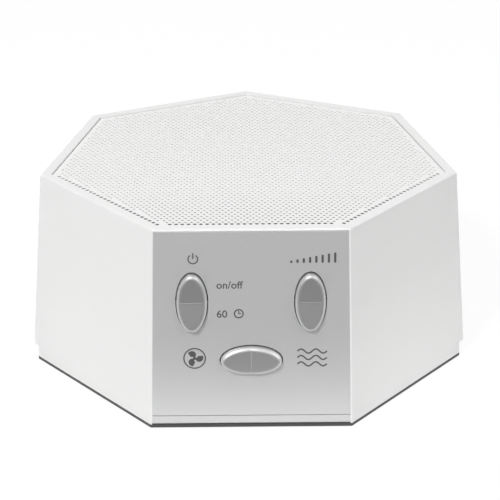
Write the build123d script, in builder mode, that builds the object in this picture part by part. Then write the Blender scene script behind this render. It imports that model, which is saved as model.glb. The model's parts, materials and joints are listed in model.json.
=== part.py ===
"""White noise sound machine: a seven-sided desktop housing with a speaker under a perforated top.

Frame: +Z up, the seven-sided body's axis on Z, the front face towards -Y, z = 0 on the table.
Sizes are in millimetres. "Depth" is measured inwards from the sloping front face.
"""

import os
from math import cos, pi, radians, sin, tan

from build123d import *

os.makedirs("parts", exist_ok=True)

# ------------------------------------------------------------------ body: driving sizes
SIDES = 7
STEP_ANGLE = 360 / SIDES        # degrees from one face to the next
TOP_APOTHEM = 49.1              # axis to any face, at the rim
HEIGHT = 52.0                   # table to rim
FRONT_DRAFT = 2.79              # the three front faces flare this many degrees
REAR_DRAFT = 4.66               # the four rear faces flare more
STANDOFF = 0.3                  # gap under the pan's flange, which the mat fills
FLANGE_THICK = 0.8              # dark edge that shows below the white skirt
STEP_HEIGHT = 3.0               # rear faces stop this far above the flange
EDGE_ROUND = 0.5
RIM_ROUND = 0.4
WALL = 2.2
FRONT_WALL = 3.0

# rim, grille and deck
RIM_WIDTH = 2.5
LEDGE_WIDTH = 2.0
GRILLE_RECESS = 0.5
GRILLE_THICK = 0.6
GRILLE_GAP = 0.15
CLOTH_THICK = 0.4
CLOTH_INSET = 1.6
WELL_DEPTH = 2.1                # free height over the deck, for the surround's travel
DECK_THICK = 2.0

# control panel, on the front face; u runs along X and v up the face from the skirt's edge
PANEL_THICK = 1.4
PANEL_MARGIN = 0.35
PANEL_FIT = 0.08
PANEL_BOTTOM = 2.25
PANEL_TOP_MARGIN = 0.45
PANEL_EDGE = 0.15
STRIP_RECESS = 0.45             # bare strip of wall below the panel, set back
STAKE_RADIUS = 1.0
STAKE_LONG = 1.3
STAKE_INSET = 3.6

# rockers: three alike, two upright and one lying
ROCKER_SPREAD = 14.3
ROCKER_DROP = 18.1              # upright rockers' middle below the panel's top edge
ROCKER_LOWER = 17.2
CAP_HALF_WIDTH = 3.65
CAP_HALF_LENGTH = 7.4
CAP_PROUD = 1.8
CAP_DEPTH = 2.0
CAP_GAP = 0.32
CAP_DISH = 0.55
CAP_ROUND = 0.5
RIDGE_WIDTH = 0.3
RIDGE_HEIGHT = 0.12
CORE_HALF_WIDTH = 3.1
CORE_HALF_LENGTH = 6.4
CORE_DEPTH = 5.0
FOOT_RADIUS = 1.1
FOOT_ARM = 4.6
PIVOT_DEPTH = 3.2
PIN_RADIUS = 0.75
PIN_RUNNING = 0.05
PIN_SEAT = 0.01

# rocker carrier
CARRIER_THICK = 1.4
CARRIER_MARGIN = 2.0
CARRIER_FLANK = 1.0
CORE_GAP = 0.5
EAR_GAP = 0.35
EAR_WIDE = 2.0
EAR_LONG = 4.4
EAR_SETBACK = 0.3
WINDOW_GAP = 0.6
WINDOW_CORNER = 1.0
CARRIER_CORNER = 2.0
POST_RISE = 3.9                 # upper post over the upright rockers' middle
POST_DROP = 2.7                 # lower posts under the lying rocker's middle
POST_SPREAD = 15.5
POST_RADIUS = 2.0
POST_FIT = 0.15
SPACER_WALL = 1.0

# keypads and button board
DOME_HEIGHT = 1.8
DOME_RADIUS = 2.5
DOME_TOP_RADIUS = 1.5
PAD_THICK = 1.0
PAD_HALF_WIDTH = 3.2
PAD_MARGIN = 0.8
PAD_CORNER = 1.0
FOOT_LONG = 1.6
BOARD_THICK = 1.6
BUTTON_BOARD_MARGIN = 1.2
BUTTON_BOARD_CORNER = 1.5
TAIL_HEADER_DROP = 7.1          # ribbon's header under the upright rockers' middle

# speaker, nominal 70 mm, facing up
CUTOUT_MARGIN = 3.0             # deck's cut-out past the basket's mouth
GASKET_THICK = 1.0
GASKET_WIDE = 5.9
GASKET_PLAY = 0.4               # gasket past the surround's flange
FRAME_SHEET = 1.2
SPEAKER_BOLT_EDGE = 3.1         # bolt circle in from the frame's edge
SPEAKER_BOLT_START = 45.0
SPEAKER_BOLTS = 4
DECK_BOSS_RADIUS = 3.0
DECK_BOSS_HIGH = 1.6
SHOULDER_INSET = 1.0               # shoulder in from the mouth
BASKET_FOOT = 20.0
BASKET_SHOULDER_DEEP = 6.0
BASKET_WINDOWS = 4
SHELF_WIDE = 2.0
BOARD_ROOM = 4.8                # free height between the main board and the yoke
SHELF_HIGH = 3.8                # spider shelf over the basket's floor
WINDOW_START = 45.0
WINDOW_ANGLE = 62.0
WINDOW_EDGE = 0.8
PLATE_RADIUS = 22.0
PLATE_THICK = 3.0
COIL_RUNNING = 0.35             # winding to the top plate
MAGNET_RADIUS = 22.5
MAGNET_BORE = 13.0
MAGNET_THICK = 8.0
POLE_RUNNING = 0.4              # former to the pole
COIL_INNER = 9.3
COIL_WALL = 0.4
COIL_LONG = 10.5
WINDING_THICK = 0.35
WINDING_LONG = 5.0
WINDING_EDGE = 0.4
NECK_GAP = 0.5                  # spider's collar to the cone's neck
DOME_FOOT = 11.5
COIL_DIP = 4.0                  # how far the coil reaches below the top plate's face
PAPER = 0.5
CONE_RADIUS = 22.8
CONE_LIP = 1.3
CAP_DOME_HIGH = 4.0
ROLL_THICK = 0.5
ROLL_FOOT = 0.25                # roll's edge past the cone's lip and the basket's mouth
ROLL_WIDE = 4.2                 # cone's lip to the basket's mouth
SURROUND_FLANGE = 3.2
SPIDER_THICK = 0.5
SPIDER_WAVE = 0.6
SPIDER_WAVES = 3
SPIDER_COLLAR = 1.2
SPIDER_RIM = 2.0
SPIDER_EDGE = 0.4
SPEAKER_GLUE = 0.05

TERMINAL_WIDE = 9.0
TERMINAL_TALL = 7.0
TERMINAL_THICK = 1.2
TERMINAL_INSET = 3.5            # strip's outer face in from the frame's edge
LUG_SPREAD = 2.6
LUG_WIDE = 1.6
LUG_THICK = 0.4
LUG_LONG = 4.0
LUG_DROP = 3.0
LEAD_RADIUS = 0.65
LEAD_DROP = 5.8                 # straight run out of a lug, and again into the plug
LEAD_BEND = 0.45                # share of the shorter run that each bend takes

# base pan and mat
PAN_FIT = 0.25
PAN_FLOOR = 1.8
PAN_RIM_HIGH = 3.6
PAN_RIM_WALL = 1.6
MAT_THICK = 1.2
MAT_BORDER = 3.0
MAT_GAP = 0.2
MAT_CORNER = 2.0
BOSS_INSET = 4.2
BOSS_BITE = 0.3
CASE_HOLE_GAP = 0.2
BOSS_HIGH = 5.0
CASE_SHANK = 1.3
CASE_HEAD = 2.2
CASE_HEAD_HIGH = 1.5
CASE_SCREW_LONG = 5.6
THREAD_GAP = 0.02
PILOT_SPARE = 0.5               # a screw's pilot hole goes this far past its tip
COUNTERBORE = 2.5
HEAD_SEAT = 3.0                 # height of the ledge that a case screw's head bears on

# main board
MAIN_STANDOFF = 3.6
MAIN_BOSS_GAP = 1.0             # board to the case screws' bosses
MAIN_MARGIN = 3.3               # board to the pan's rim
FRONT_ROOM = 19.5               # board's front edge behind the front face
FIXING_ANGLES = (-150, -30, 133, 14)
FIXING_INSET = 6.5
STANDOFF_RADIUS = 2.6
BOARD_SHANK = 1.0
BOARD_HEAD = 1.9
BOARD_HEAD_HIGH = 1.3
BOARD_SCREW_LONG = 4.2
BOARD_HOLE_GAP = 0.2

# parts on the main board: place and size along X and Y, then height
SOUND_CHIP = ((-14.0, -12.0), (12.0, 12.0), 1.4)
MEMORY_CHIP = ((4.0, -14.0), (6.0, 5.0), 1.6)
AMPLIFIER_CHIP = ((-20.0, 8.0), (6.2, 5.0), 1.5)
REGULATOR_ANGLE = 45
REGULATOR_INSET = 13.5          # in from the board's round edge
REGULATOR_SIZE = (6.5, 3.6)
REGULATOR_HIGH = 1.7
INDUCTOR_ANGLE = 16
INDUCTOR_INSET = 15.5
INDUCTOR_SIZE = (6.0, 6.0)
INDUCTOR_HIGH = 3.0
CRYSTAL_SPOT = (-1.0, -4.0)
CRYSTAL_LONG = 11.0
CRYSTAL_WIDE = 4.4
CRYSTAL_HIGH = 3.4
CAPACITOR_ANGLES = (-17, -5, 160, 172)
CAPACITOR_INSET = 6.9
CAPACITOR_RADIUS = 3.15
CAPACITOR_HIGH = 7.5
CERAMIC_SIZE = (2.0, 1.25, 0.8)
CERAMIC_SPOTS = (
    (-24.0, -12.0), (-24.0, -8.0), (-4.5, -18.0), (-14.0, -1.5), (-9.0, -1.5), (12.0, -10.0),
    (12.0, -6.0), (-20.0, 13.5), (-26.0, 13.5), (16.0, 16.0), (22.0, 15.0), (28.0, 17.0),
)
DECODER_SPREAD = 10.0           # on the button board, beside the lying rocker
DECODER_SIZE = (5.0, 6.2)
DECODER_HIGH = 1.6

# ribbon cable and its two headers
HEADER_WIDE = 10.0
HEADER_DEEP = 5.0
HEADER_HIGH = 4.4
RIBBON_WIDE = 7.6
RIBBON_THICK = 0.9
RIBBON_TURN = 6.0
HEADER_INSET = 2.9              # header's middle behind the board's front edge
PLUG_ANGLE = 193.2
PLUG_INSET = 5.1
PLUG_WIDE = 6.0
PLUG_DEEP = 4.6
PLUG_HIGH = 6.2
PLUG_PITCH = 2.5

# sockets, side by side on one rear face
SOCKET_SPREAD = 7.0
SOCKET_RISE = 5.4               # bore's height over the main board
SOCKET_WALL_GAP = 0.3
BAY_DEEP = 1.63
BAY_WIDE = 28.0
BAY_TALL = 11.6
BAY_CORNER = 2.0
POWER_WIDE = 9.0
POWER_TALL = 10.8
POWER_LONG = 13.0
POWER_BORE = 3.0
POWER_BORE_LONG = 9.5
POWER_PIN = 1.0
POWER_PIN_SHORT = 0.8          # the pin stops this far inside the mouth
POWER_NOSE = 3.9
AUDIO_WIDE = 7.6
AUDIO_TALL = 9.2
AUDIO_LONG = 12.0
AUDIO_BORE = 1.8
AUDIO_BORE_LONG = 11.0
AUDIO_NOSE = 3.0
NOSE_GAP = 0.25

# ------------------------------------------------------------------ heights that follow
FLANGE_TOP = STANDOFF + FLANGE_THICK
STEP_TOP = FLANGE_TOP + STEP_HEIGHT
GRILLE_TOP = HEIGHT - GRILLE_RECESS
GRILLE_BOTTOM = GRILLE_TOP - GRILLE_THICK
LEDGE_TOP = GRILLE_BOTTOM - CLOTH_THICK
DECK_TOP = LEDGE_TOP - WELL_DEPTH
DECK_BOTTOM = DECK_TOP - DECK_THICK
FRAME_TOP = DECK_BOTTOM - GASKET_THICK
FRAME_BOTTOM = FRAME_TOP - FRAME_SHEET
PAN_INSIDE = MAT_THICK + PAN_FLOOR
PAN_TOP = FLANGE_TOP + PAN_RIM_HIGH
MAIN_BOTTOM = PAN_INSIDE + MAIN_STANDOFF
MAIN_TOP = MAIN_BOTTOM + BOARD_THICK
YOKE_BOTTOM = MAIN_TOP + BOARD_ROOM
MAGNET_BOTTOM = YOKE_BOTTOM + PLATE_THICK
PLATE_BOTTOM = MAGNET_BOTTOM + MAGNET_THICK
PLATE_TOP = PLATE_BOTTOM + PLATE_THICK
SOCKET_Z = MAIN_TOP + SOCKET_RISE
SOCKET_FACE = SIDES // 2        # the rear face to the right of the rear corner
FOOT_DEPTH = CORE_DEPTH + FOOT_LONG
PAD_DEPTH = FOOT_DEPTH + DOME_HEIGHT
BOARD_DEPTH = PAD_DEPTH + PAD_THICK
BOARD_BACK = BOARD_DEPTH + BOARD_THICK
PLATE_BACK = FRONT_WALL + CARRIER_THICK
EAR_INNER = CAP_HALF_WIDTH + EAR_GAP
EAR_OUTER = EAR_INNER + EAR_WIDE
BASKET_MOUTH = CONE_RADIUS + ROLL_WIDE
BASKET_SHOULDER = BASKET_MOUTH - SHOULDER_INSET
SPIDER_SHELF = BASKET_FOOT - SHELF_WIDE
CUTOUT_RADIUS = BASKET_MOUTH + CUTOUT_MARGIN
SURROUND_RADIUS = BASKET_MOUTH + SURROUND_FLANGE
GASKET_INNER = SURROUND_RADIUS + GASKET_PLAY
FRAME_RADIUS = GASKET_INNER + GASKET_WIDE
SPEAKER_BOLT_RADIUS = FRAME_RADIUS - SPEAKER_BOLT_EDGE
TERMINAL_REACH = FRAME_RADIUS - TERMINAL_INSET
POLE_RADIUS = COIL_INNER - POLE_RUNNING
PLATE_BORE = COIL_INNER + COIL_WALL + WINDING_THICK + COIL_RUNNING


# ------------------------------------------------------------------ the body's outline
def front_apothem(z):
    """Axis to the three front faces' outside at height z."""
    return TOP_APOTHEM + (HEIGHT - z) * tan(radians(FRONT_DRAFT))


def rear_apothem(z):
    """Axis to the four rear faces' outside at height z."""
    return TOP_APOTHEM + (HEIGHT - z) * tan(radians(REAR_DRAFT))


def outline(front, side, rear):
    """Corners of the seven-sided outline: one front face, its two neighbours and four rear faces.

    Two neighbouring faces at distances p and q from the axis, with unit normals m and n that
    are one step apart, meet at (p (m - n cos step) + q (n - m cos step)) / sin^2 step.
    """
    step = radians(STEP_ANGLE)
    reach = [rear, rear, side, front, side, rear, rear]
    normals = [Vector(sin(k * step), -cos(k * step), 0) for k in range(-3, 4)]
    points = []
    for k in range(SIDES):
        m, n = normals[k], normals[(k + 1) % SIDES]
        p, q = reach[k], reach[(k + 1) % SIDES]
        spot = ((m - n * cos(step)) * p + (n - m * cos(step)) * q) * (1 / sin(step) ** 2)
        points.append((spot.X, spot.Y))
    return points


def regular(apothem):
    """Corners of the regular seven-sided outline."""
    return outline(apothem, apothem, apothem)


def wall_plane(face, distance):
    """Upright plane parallel to a face, counted from the front one, with u level and v up."""
    a = radians(face * STEP_ANGLE)
    return Plane(
        origin=(distance * sin(a), -distance * cos(a), 0),
        x_dir=(cos(a), sin(a), 0),
        z_dir=(sin(a), -cos(a), 0),
    )


# ------------------------------------------------------------------ the front face
LEAN = radians(FRONT_DRAFT)
FACE = Plane(
    origin=(0, -front_apothem(FLANGE_TOP), FLANGE_TOP),
    x_dir=(1, 0, 0),
    z_dir=(0, -cos(LEAN), sin(LEAN)),
)
FACE_LONG = (HEIGHT - FLANGE_TOP) / cos(LEAN)
PANEL_TOP = FACE_LONG - PANEL_TOP_MARGIN
ROCKER_UPPER = PANEL_TOP - ROCKER_DROP
TAIL_HEADER_V = ROCKER_UPPER - TAIL_HEADER_DROP
POST_SPOTS = (
    (0, ROCKER_UPPER + POST_RISE),
    (-POST_SPREAD, ROCKER_LOWER - POST_DROP),
    (POST_SPREAD, ROCKER_LOWER - POST_DROP),
)


def face_half(v):
    """Half the front face's width, v up the face."""
    return front_apothem(FLANGE_TOP + v * cos(LEAN)) * tan(pi / SIDES)


def trapezoid(low, high, margin):
    """Corners of a strip of the front face between two heights, in from its upright edges."""
    return [
        (-face_half(low) + margin, low),
        (face_half(low) - margin, low),
        (face_half(high) - margin, high),
        (-face_half(high) + margin, high),
    ]


def rocker_plane(u, v, upright):
    """A rocker's own plane: x along its pivot, y along its length, z out of the face."""
    along = FACE.x_dir if upright else FACE.y_dir
    return Plane(origin=FACE.from_local_coords((u, v, 0)), x_dir=along, z_dir=FACE.z_dir)


ROCKERS = {
    "power": rocker_plane(-ROCKER_SPREAD, ROCKER_UPPER, True),
    "volume": rocker_plane(ROCKER_SPREAD, ROCKER_UPPER, True),
    "sound": rocker_plane(0, ROCKER_LOWER, False),
}


def across(plane):
    """Plane square to a rocker's pivot: x along the rocker, y out of the face."""
    return Plane(origin=plane.origin, x_dir=plane.y_dir, z_dir=plane.x_dir)


CARRIER_SIDE = ROCKER_SPREAD + EAR_OUTER + CARRIER_FLANK
CARRIER_LOW = ROCKER_LOWER - EAR_OUTER - CARRIER_MARGIN
CARRIER_HIGH = ROCKER_UPPER + CAP_HALF_LENGTH + CARRIER_MARGIN
CARRIER_MIDDLE = (CARRIER_LOW + CARRIER_HIGH) / 2
CARRIER_TALL = CARRIER_HIGH - CARRIER_LOW

# ------------------------------------------------------------------ screw places
BOSS_RING = (front_apothem(FLANGE_TOP) - WALL - BOSS_INSET) / cos(pi / SIDES)
BOSS_SPOTS = [
    (BOSS_RING * sin(radians(k * STEP_ANGLE / 2)), -BOSS_RING * cos(radians(k * STEP_ANGLE / 2)))
    for k in (-5, -3, -1, 1, 3, 5)
]
BOSS_BOTTOM = PAN_TOP
BOSS_RADIUS = BOSS_INSET + BOSS_BITE
PAN_FRONT = front_apothem(PAN_TOP) - FRONT_WALL / cos(LEAN) - PAN_FIT
PAN_SIDE = front_apothem(PAN_TOP) - WALL - PAN_FIT
MAIN_RADIUS = BOSS_RING - BOSS_RADIUS - MAIN_BOSS_GAP
MAIN_APOTHEM = PAN_SIDE - PAN_RIM_WALL - MAIN_MARGIN
MAIN_FRONT = FRONT_ROOM - front_apothem(MAIN_TOP)
MAIN_HEADER_Y = MAIN_FRONT + HEADER_INSET
BAY_FLOOR = rear_apothem(SOCKET_Z) - BAY_DEEP


def polar(radius, angle):
    """Point at a radius and an angle from +X."""
    return (radius * cos(radians(angle)), radius * sin(radians(angle)))


def board_spot(angle, inset):
    """Place on the main board at an angle from +X, in from the board's round edge."""
    return polar(MAIN_RADIUS - inset, angle)


MAIN_SPOTS = [board_spot(angle, FIXING_INSET) for angle in FIXING_ANGLES]
CAPACITOR_SPOTS = [board_spot(angle, CAPACITOR_INSET) for angle in CAPACITOR_ANGLES]
PLUG_SPOT = board_spot(PLUG_ANGLE, PLUG_INSET)
REGULATOR_SPOT = board_spot(REGULATOR_ANGLE, REGULATOR_INSET)
INDUCTOR_SPOT = board_spot(INDUCTOR_ANGLE, INDUCTOR_INSET)


def save(shape, name):
    """Labels a finished sub-part and writes its STEP file."""
    shape.label = name
    export_step(shape, f"parts/{name}.step")


def rounded_section(points, z, radius):
    """Polygon with rounded corners at height z."""
    with BuildSketch(Plane.XY.offset(z)) as section:
        Polygon(*points, align=None)
        fillet(section.vertices(), radius)
    return section.sketch


def screws(planes, shank, shank_long, head, head_high):
    """Pan-head screws: on each plane the head stands on the plane and the shank goes below it."""
    slot_long, slot_wide, slot_deep = head * 1.2, head * 0.28, head_high * 0.5
    with BuildPart() as group:
        for plane in planes:
            with BuildSketch(plane):
                Circle(head)
            extrude(amount=head_high)
            with BuildSketch(plane):
                Circle(shank)
            extrude(amount=-shank_long)
            with BuildSketch(plane.offset(head_high)):
                Rectangle(slot_long, slot_wide)
                Rectangle(slot_wide, slot_long)
            extrude(amount=-slot_deep, mode=Mode.SUBTRACT)
    return group.part


# ------------------------------------------------------------------ housing
with BuildPart() as housing:
    a = front_apothem(STEP_TOP)
    loft(
        [
            rounded_section(outline(a, a, rear_apothem(STEP_TOP)), STEP_TOP, EDGE_ROUND),
            rounded_section(regular(TOP_APOTHEM), HEIGHT, EDGE_ROUND),
        ],
        ruled=True,
    )
    fillet(housing.faces().sort_by(Axis.Z)[-1].edges(), RIM_ROUND)
    # skirt under the rear step, in line with the front faces all round
    loft(
        [
            rounded_section(regular(front_apothem(FLANGE_TOP)), FLANGE_TOP, EDGE_ROUND),
            rounded_section(regular(a), STEP_TOP, EDGE_ROUND),
        ],
        ruled=True,
    )
    # cavity below the deck
    with BuildSketch(Plane.XY.offset(FLANGE_TOP)):
        a = front_apothem(FLANGE_TOP)
        Polygon(*outline(a - FRONT_WALL / cos(LEAN), a - WALL, a - WALL), align=None)
    with BuildSketch(Plane.XY.offset(DECK_BOTTOM)):
        a = front_apothem(DECK_BOTTOM)
        Polygon(*outline(a - FRONT_WALL / cos(LEAN), a - WALL, a - WALL), align=None)
    loft(ruled=True, mode=Mode.SUBTRACT)
    # seat for grille and cloth, and the well under them
    with BuildSketch(Plane.XY.offset(LEDGE_TOP)):
        Polygon(*regular(TOP_APOTHEM - RIM_WIDTH), align=None)
    extrude(amount=HEIGHT - LEDGE_TOP, mode=Mode.SUBTRACT)
    with BuildSketch(Plane.XY.offset(DECK_TOP)):
        Polygon(*regular(TOP_APOTHEM - RIM_WIDTH - LEDGE_WIDTH), align=None)
    extrude(amount=WELL_DEPTH, mode=Mode.SUBTRACT)
    with BuildSketch(Plane.XY.offset(DECK_BOTTOM)):
        Circle(CUTOUT_RADIUS)
    extrude(amount=DECK_THICK, mode=Mode.SUBTRACT)
    # bosses for the speaker's screws
    with BuildSketch(Plane.XY.offset(DECK_TOP)):
        with PolarLocations(SPEAKER_BOLT_RADIUS, SPEAKER_BOLTS, SPEAKER_BOLT_START):
            Circle(DECK_BOSS_RADIUS)
    extrude(amount=DECK_BOSS_HIGH)
    with BuildSketch(Plane.XY.offset(DECK_BOTTOM)):
        with PolarLocations(SPEAKER_BOLT_RADIUS, SPEAKER_BOLTS, SPEAKER_BOLT_START):
            Circle(BOARD_SHANK + THREAD_GAP)
    extrude(
        amount=BOARD_SCREW_LONG - FRAME_SHEET - GASKET_THICK + PILOT_SPARE, mode=Mode.SUBTRACT
    )
    # recess for the control panel, and the set-back strip below it
    with BuildSketch(FACE):
        Polygon(*trapezoid(PANEL_BOTTOM, PANEL_TOP, PANEL_MARGIN), align=None)
    extrude(amount=-PANEL_THICK, mode=Mode.SUBTRACT)
    with BuildSketch(FACE):
        Polygon(*trapezoid(-1, PANEL_BOTTOM, PANEL_MARGIN), align=None)
    extrude(amount=-STRIP_RECESS, mode=Mode.SUBTRACT)
    # posts that carry the button board
    with BuildSketch(FACE.offset(-FRONT_WALL)):
        with Locations(*POST_SPOTS):
            Circle(POST_RADIUS)
    extrude(amount=FRONT_WALL - BOARD_DEPTH)
    with BuildSketch(FACE.offset(-BOARD_DEPTH)):
        with Locations(*POST_SPOTS):
            Circle(BOARD_SHANK + THREAD_GAP)
    extrude(amount=BOARD_DEPTH - FRONT_WALL, mode=Mode.SUBTRACT)
    # bosses for the case screws
    with BuildSketch(Plane.XY.offset(BOSS_BOTTOM)):
        with Locations(*BOSS_SPOTS):
            Circle(BOSS_RADIUS)
        a = front_apothem(BOSS_BOTTOM + BOSS_HIGH)
        Polygon(
            *outline(a - (PANEL_THICK + FRONT_WALL) / 2, a - WALL / 2, a - WALL / 2),
            align=None,
            mode=Mode.INTERSECT,
        )
    extrude(amount=BOSS_HIGH)
    with BuildSketch(Plane.XY.offset(BOSS_BOTTOM)):
        with Locations(*BOSS_SPOTS):
            Circle(CASE_SHANK + THREAD_GAP)
    extrude(amount=HEAD_SEAT + CASE_SCREW_LONG + PILOT_SPARE - BOSS_BOTTOM, mode=Mode.SUBTRACT)
    # windows behind the rockers, and holes for the panel's stakes
    for plane in ROCKERS.values():
        with BuildSketch(plane.offset(-PANEL_THICK)):
            RectangleRounded(
                2 * (EAR_OUTER + WINDOW_GAP),
                2 * (CAP_HALF_LENGTH + WINDOW_GAP),
                WINDOW_CORNER,
            )
        extrude(amount=PANEL_THICK - FRONT_WALL, mode=Mode.SUBTRACT)
    STAKES = [
        (side * (face_half(v) - PANEL_MARGIN - STAKE_INSET), v)
        for side in (-1, 1)
        for v in (PANEL_BOTTOM + STAKE_INSET, PANEL_TOP - 2 * STAKE_INSET)
    ]
    with BuildSketch(FACE.offset(-PANEL_THICK)):
        with Locations(*STAKES):
            Circle(STAKE_RADIUS + PANEL_FIT)
    extrude(amount=PANEL_THICK - FRONT_WALL, mode=Mode.SUBTRACT)
    # socket bay and its two holes
    with BuildSketch(wall_plane(SOCKET_FACE, BAY_FLOOR)):
        with Locations((0, SOCKET_Z)):
            RectangleRounded(BAY_WIDE, BAY_TALL, BAY_CORNER)
    extrude(amount=2 * WALL, mode=Mode.SUBTRACT)
    with BuildSketch(wall_plane(SOCKET_FACE, BAY_FLOOR)):
        with Locations((-SOCKET_SPREAD, SOCKET_Z)):
            Circle(POWER_NOSE + NOSE_GAP)
        with Locations((SOCKET_SPREAD, SOCKET_Z)):
            Circle(AUDIO_NOSE + NOSE_GAP)
    extrude(amount=-2 * WALL, mode=Mode.SUBTRACT)
save(housing.part, "housing")

# ------------------------------------------------------------------ grille and cloth
with BuildPart() as grille:
    with BuildSketch(Plane.XY.offset(GRILLE_BOTTOM)):
        Polygon(*regular(TOP_APOTHEM - RIM_WIDTH - GRILLE_GAP), align=None)
    extrude(amount=GRILLE_THICK)
save(grille.part, "grille")

with BuildPart() as grille_cloth:
    with BuildSketch(Plane.XY.offset(LEDGE_TOP)):
        Polygon(*regular(TOP_APOTHEM - RIM_WIDTH - CLOTH_INSET), align=None)
    extrude(amount=CLOTH_THICK)
save(grille_cloth.part, "grille_cloth")

# ------------------------------------------------------------------ control panel
with BuildPart() as control_panel:
    with BuildSketch(FACE):
        Polygon(
            *trapezoid(
                PANEL_BOTTOM + PANEL_FIT, PANEL_TOP - PANEL_FIT, PANEL_MARGIN + PANEL_FIT
            ),
            align=None,
        )
    extrude(amount=-PANEL_THICK)
    front = control_panel.faces().sort_by(Axis(FACE.origin, FACE.z_dir))[-1]
    chamfer(front.edges(), PANEL_EDGE)
    for plane in ROCKERS.values():
        with BuildSketch(plane):
            Ellipse(CAP_HALF_WIDTH + CAP_GAP, CAP_HALF_LENGTH + CAP_GAP)
        extrude(amount=-PANEL_THICK, mode=Mode.SUBTRACT)
    with BuildSketch(FACE.offset(-PANEL_THICK)):
        with Locations(*STAKES):
            Circle(STAKE_RADIUS)
    extrude(amount=-STAKE_LONG)
save(control_panel.part, "control_panel")


# ------------------------------------------------------------------ rockers, pins and keypads
def make_rocker(plane):
    """Elliptical rocker: dished cap with a ridge over the pivot, core, bore and two feet."""
    side = across(plane)
    with BuildPart() as rocker:
        with BuildSketch(plane.offset(-CAP_DEPTH)):
            Ellipse(CAP_HALF_WIDTH, CAP_HALF_LENGTH)
        extrude(amount=CAP_DEPTH + CAP_PROUD)
        fillet(rocker.faces().sort_by(Axis(plane.origin, plane.z_dir))[-1].edges(), CAP_ROUND)
        with BuildSketch(side):
            Polygon(
                (0, CAP_PROUD - CAP_DISH),
                (CAP_HALF_LENGTH, CAP_PROUD),
                (CAP_HALF_LENGTH, CAP_PROUD + 1),
                (-CAP_HALF_LENGTH, CAP_PROUD + 1),
                (-CAP_HALF_LENGTH, CAP_PROUD),
                align=None,
            )
        extrude(amount=CAP_HALF_WIDTH, both=True, mode=Mode.SUBTRACT)
        with BuildSketch(side):
            with Locations((0, CAP_PROUD - CAP_DISH)):
                Rectangle(RIDGE_WIDTH, 2 * RIDGE_HEIGHT)
        extrude(amount=CAP_HALF_WIDTH - CAP_ROUND, both=True)
        with BuildSketch(plane.offset(-CORE_DEPTH)):
            Ellipse(CORE_HALF_WIDTH, CORE_HALF_LENGTH)
        extrude(amount=CORE_DEPTH - CAP_DEPTH)
        with BuildSketch(plane.offset(-FOOT_DEPTH)):
            with Locations((0, -FOOT_ARM), (0, FOOT_ARM)):
                Circle(FOOT_RADIUS)
        extrude(amount=FOOT_LONG)
        with BuildSketch(side):
            with Locations((0, -PIVOT_DEPTH)):
                Circle(PIN_RADIUS + PIN_RUNNING)
        extrude(amount=CAP_HALF_WIDTH, both=True, mode=Mode.SUBTRACT)
    return rocker.part


def make_pin(plane):
    """Steel pivot pin through a rocker and both its ears."""
    with BuildPart() as pin:
        with BuildSketch(across(plane)):
            with Locations((0, -PIVOT_DEPTH)):
                Circle(PIN_RADIUS)
        extrude(amount=EAR_OUTER, both=True)
    return pin.part


def make_keypad(plane):
    """Silicone pad on the button board with a collapsing dome under each foot of a rocker."""
    with BuildPart() as keypad:
        with BuildSketch(plane.offset(-BOARD_DEPTH)):
            RectangleRounded(
                2 * PAD_HALF_WIDTH, 2 * (FOOT_ARM + DOME_RADIUS + PAD_MARGIN), PAD_CORNER
            )
        extrude(amount=PAD_THICK)
        for arm in (-FOOT_ARM, FOOT_ARM):
            with BuildSketch(plane.offset(-PAD_DEPTH)):
                with Locations((0, arm)):
                    Circle(DOME_RADIUS)
            with BuildSketch(plane.offset(-FOOT_DEPTH)):
                with Locations((0, arm)):
                    Circle(DOME_TOP_RADIUS)
            loft(ruled=True)
    return keypad.part


for name, plane in ROCKERS.items():
    save(make_rocker(plane), f"{name}_rocker")
    save(make_pin(plane), f"{name}_pivot_pin")
    save(make_keypad(plane), f"{name}_keypad")

# ------------------------------------------------------------------ rocker carrier
with BuildPart() as rocker_carrier:
    with BuildSketch(FACE.offset(-FRONT_WALL)):
        with Locations((0, CARRIER_MIDDLE)):
            RectangleRounded(2 * CARRIER_SIDE, CARRIER_TALL, CARRIER_CORNER)
    extrude(amount=-CARRIER_THICK)
    for plane in ROCKERS.values():
        with BuildSketch(plane.offset(-PANEL_THICK - EAR_SETBACK)):
            with Locations((-EAR_INNER - EAR_WIDE / 2, 0), (EAR_INNER + EAR_WIDE / 2, 0)):
                Rectangle(EAR_WIDE, EAR_LONG)
        extrude(amount=PANEL_THICK + EAR_SETBACK - PLATE_BACK)
        with BuildSketch(plane.offset(-FRONT_WALL)):
            Ellipse(CORE_HALF_WIDTH + CORE_GAP, CORE_HALF_LENGTH + CORE_GAP)
        extrude(amount=-CARRIER_THICK, mode=Mode.SUBTRACT)
    with BuildSketch(FACE.offset(-PLATE_BACK)):
        with Locations(*POST_SPOTS):
            Circle(POST_RADIUS + POST_FIT + SPACER_WALL)
    extrude(amount=PLATE_BACK - BOARD_DEPTH)
    with BuildSketch(FACE.offset(-FRONT_WALL)):
        with Locations(*POST_SPOTS):
            Circle(POST_RADIUS + POST_FIT)
    extrude(amount=FRONT_WALL - BOARD_DEPTH, mode=Mode.SUBTRACT)
    for plane in ROCKERS.values():
        with BuildSketch(across(plane)):
            with Locations((0, -PIVOT_DEPTH)):
                Circle(PIN_RADIUS + PIN_SEAT)
        extrude(amount=EAR_OUTER, both=True, mode=Mode.SUBTRACT)
save(rocker_carrier.part, "rocker_carrier")

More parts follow.
